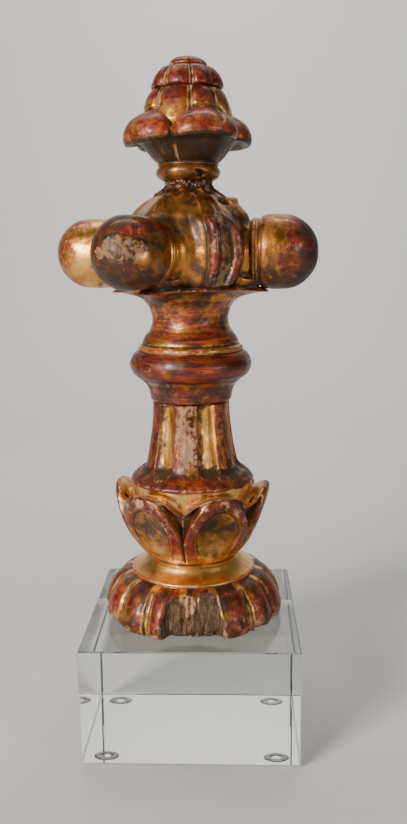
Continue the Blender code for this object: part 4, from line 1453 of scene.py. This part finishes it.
LOWER_TIER = (
    beside(LOWER_TIER_RADIUS, CALYX_HEIGHT, (-0.3, 14.6), (0.2, 15.8), (-0.3, 17.6), (-1.2, 20.2),
        (-2.7, 22.6), (-4.2, 24.0))
    + beside(UPPER_TIER_RADIUS, CALYX_HEIGHT, (-1.6, 24.4))
)
UPPER_TIER = (
    beside(UPPER_TIER_RADIUS, CALYX_HEIGHT, (-1.6, 24.4), (-0.1, 25.0), (0.0, 26.8), (-1.0, 29.4),
        (-2.8, 31.8))
    + beside(CAP_RADIUS, CALYX_HEIGHT, (2.2, 33.6), (-1.2, 34.2))
)


def cap_zone(rows):
    """Small domed cap, sitting a little over to the right."""
    share = shares(rows)
    radius, height = through(
        beside(CAP_RADIUS, CALYX_HEIGHT, (-1.2, 34.2), (-0.1, 34.7), (-0.2, 35.6))
        + between((0.0, BUD_TOP), (CAP_RADIUS, BUD_TOP - 0.001), (0.86, 2.1), (0.60, 0.9), (0.30, 0.2))
        + beside(0.0, BUD_TOP, (0.3, 0.0)),
        share,
    )
    lean = 0.0006 * np.cos(np.radians(beta - 95.0)) * smooth(1.0 - share / 0.5)
    dents = patches(radius, beta, height, 0.004, 241)
    # Darker at its base, where it sits on the upper tier: painted shade.
    return zone(
        radius + lean,
        height + 0.0002 * dents * smooth(radius / 0.002),
        bole=0.70 + 0.30 * dents,
        gold=0.40 + 0.3 * dents,
        gesso=0.08 + 0.20 * bump_at(share, 0.16, 0.1),
        grime=0.10 + 0.5 * smooth(1.0 - share / 0.1),
    )


COLLAR_ROWS = 34
CALYX_ROWS = 26
bud_length = stack(
    [
        collar_zone(COLLAR_ROWS),
        calyx_zone(CALYX_ROWS),
        petal_zone(64),
        tier_zone(40, LOWER_TIER, LOWER_TIER_TURN, 230, skirt=0.0082, moved=((6.0, 3.0), (46.0, -4.5))),
        tier_zone(38, UPPER_TIER, UPPER_TIER_TURN, 235),
        cap_zone(26),
    ]
)
finial_bud = turned_blank("finial_bud", bud_length["radius"].shape[0], BUD_COLUMNS)
PETAL_ROW = COLLAR_ROWS + CALYX_ROWS
PALE_ROW = PETAL_ROW + 40
pale_creases = np.zeros((bud_length["radius"].shape[0], 1))
pale_creases[PALE_ROW:] = 0.55
carve(finial_bud, eased(bud_length, PETAL_ROW - 6, PETAL_ROW + 6), BUD_COLUMNS, pale=pale_creases)
finish_length(finial_bud)


# Clear cast acrylic block under the finial: sawn, flame-polished and a little scratched.
# Its narrow broken edges catch the light.
acrylic, wire, shader = new_paint(
    "clear_acrylic", (0.97, 0.99, 0.98, 1.0), IOR=1.49, Transmission_Weight=1.0
)
place = wire.node("ShaderNodeTexCoord").outputs["Object"]
smear = wire.noise(place, 35.0, 4.0, 0.6, 0.5)
wire.feed(shader.inputs["Roughness"], wire.times(wire.ramp(smear, 0.45, 0.85), 0.05))
scuff = wire.noise(place, 420.0, 3.0, 0.6)
bump = wire.node("ShaderNodeBump")
bump.inputs["Strength"].default_value = 0.03
bump.inputs["Distance"].default_value = 0.0002
wire.feed(bump.inputs["Height"], scuff)
wire.feed(shader.inputs["Normal"], bump.outputs["Normal"])
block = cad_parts["acrylic_block"]
block.data.materials.clear()
block.data.materials.append(acrylic)


# Four clear stick-on bumper feet, moulded as low domes with a rounded edge.
# Each is spun from its outline and stands for its plain CAD foot.
bumper_clear, wire, shader = new_paint(
    "clear_bumper", (0.86, 0.88, 0.87, 1.0), IOR=1.48, Transmission_Weight=0.85
)
place = wire.node("ShaderNodeTexCoord").outputs["Object"]
haze = wire.noise(place, 260.0, 3.0, 0.6)
wire.feed(shader.inputs["Roughness"], wire.plus(0.12, wire.times(haze, 0.2)))
BUMPER_COLUMNS = 64
for foot_name in ("foot_front_left", "foot_front_right", "foot_back_left", "foot_back_right"):
    low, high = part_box(foot_name)
    centre = (low + high) / 2.0
    rim = (high.x - low.x) / 2.0
    rise = high.z - low.z
    shape = zone(
        *through(
            between((0.0, 0.0), (rim, rise), (0.02, 0.0), (0.66, 0.0), (0.80, 0.12), (0.93, 0.42),
                (0.99, 0.80), (1.0, 0.94), (0.985, 1.0), (0.02, 1.0)),
            shares(40) * np.ones((1, BUMPER_COLUMNS)),
        )
    )
    foot = turned_blank(foot_name + "_dome", 40, BUMPER_COLUMNS)
    carve(foot, shape, BUMPER_COLUMNS)
    foot.data.transform(Matrix.Translation((centre.x, centre.y, low.z)))
    foot.data.materials.append(bumper_clear)
    foot.data.shade_smooth()
    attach(foot, "root")
    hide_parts(foot_name)
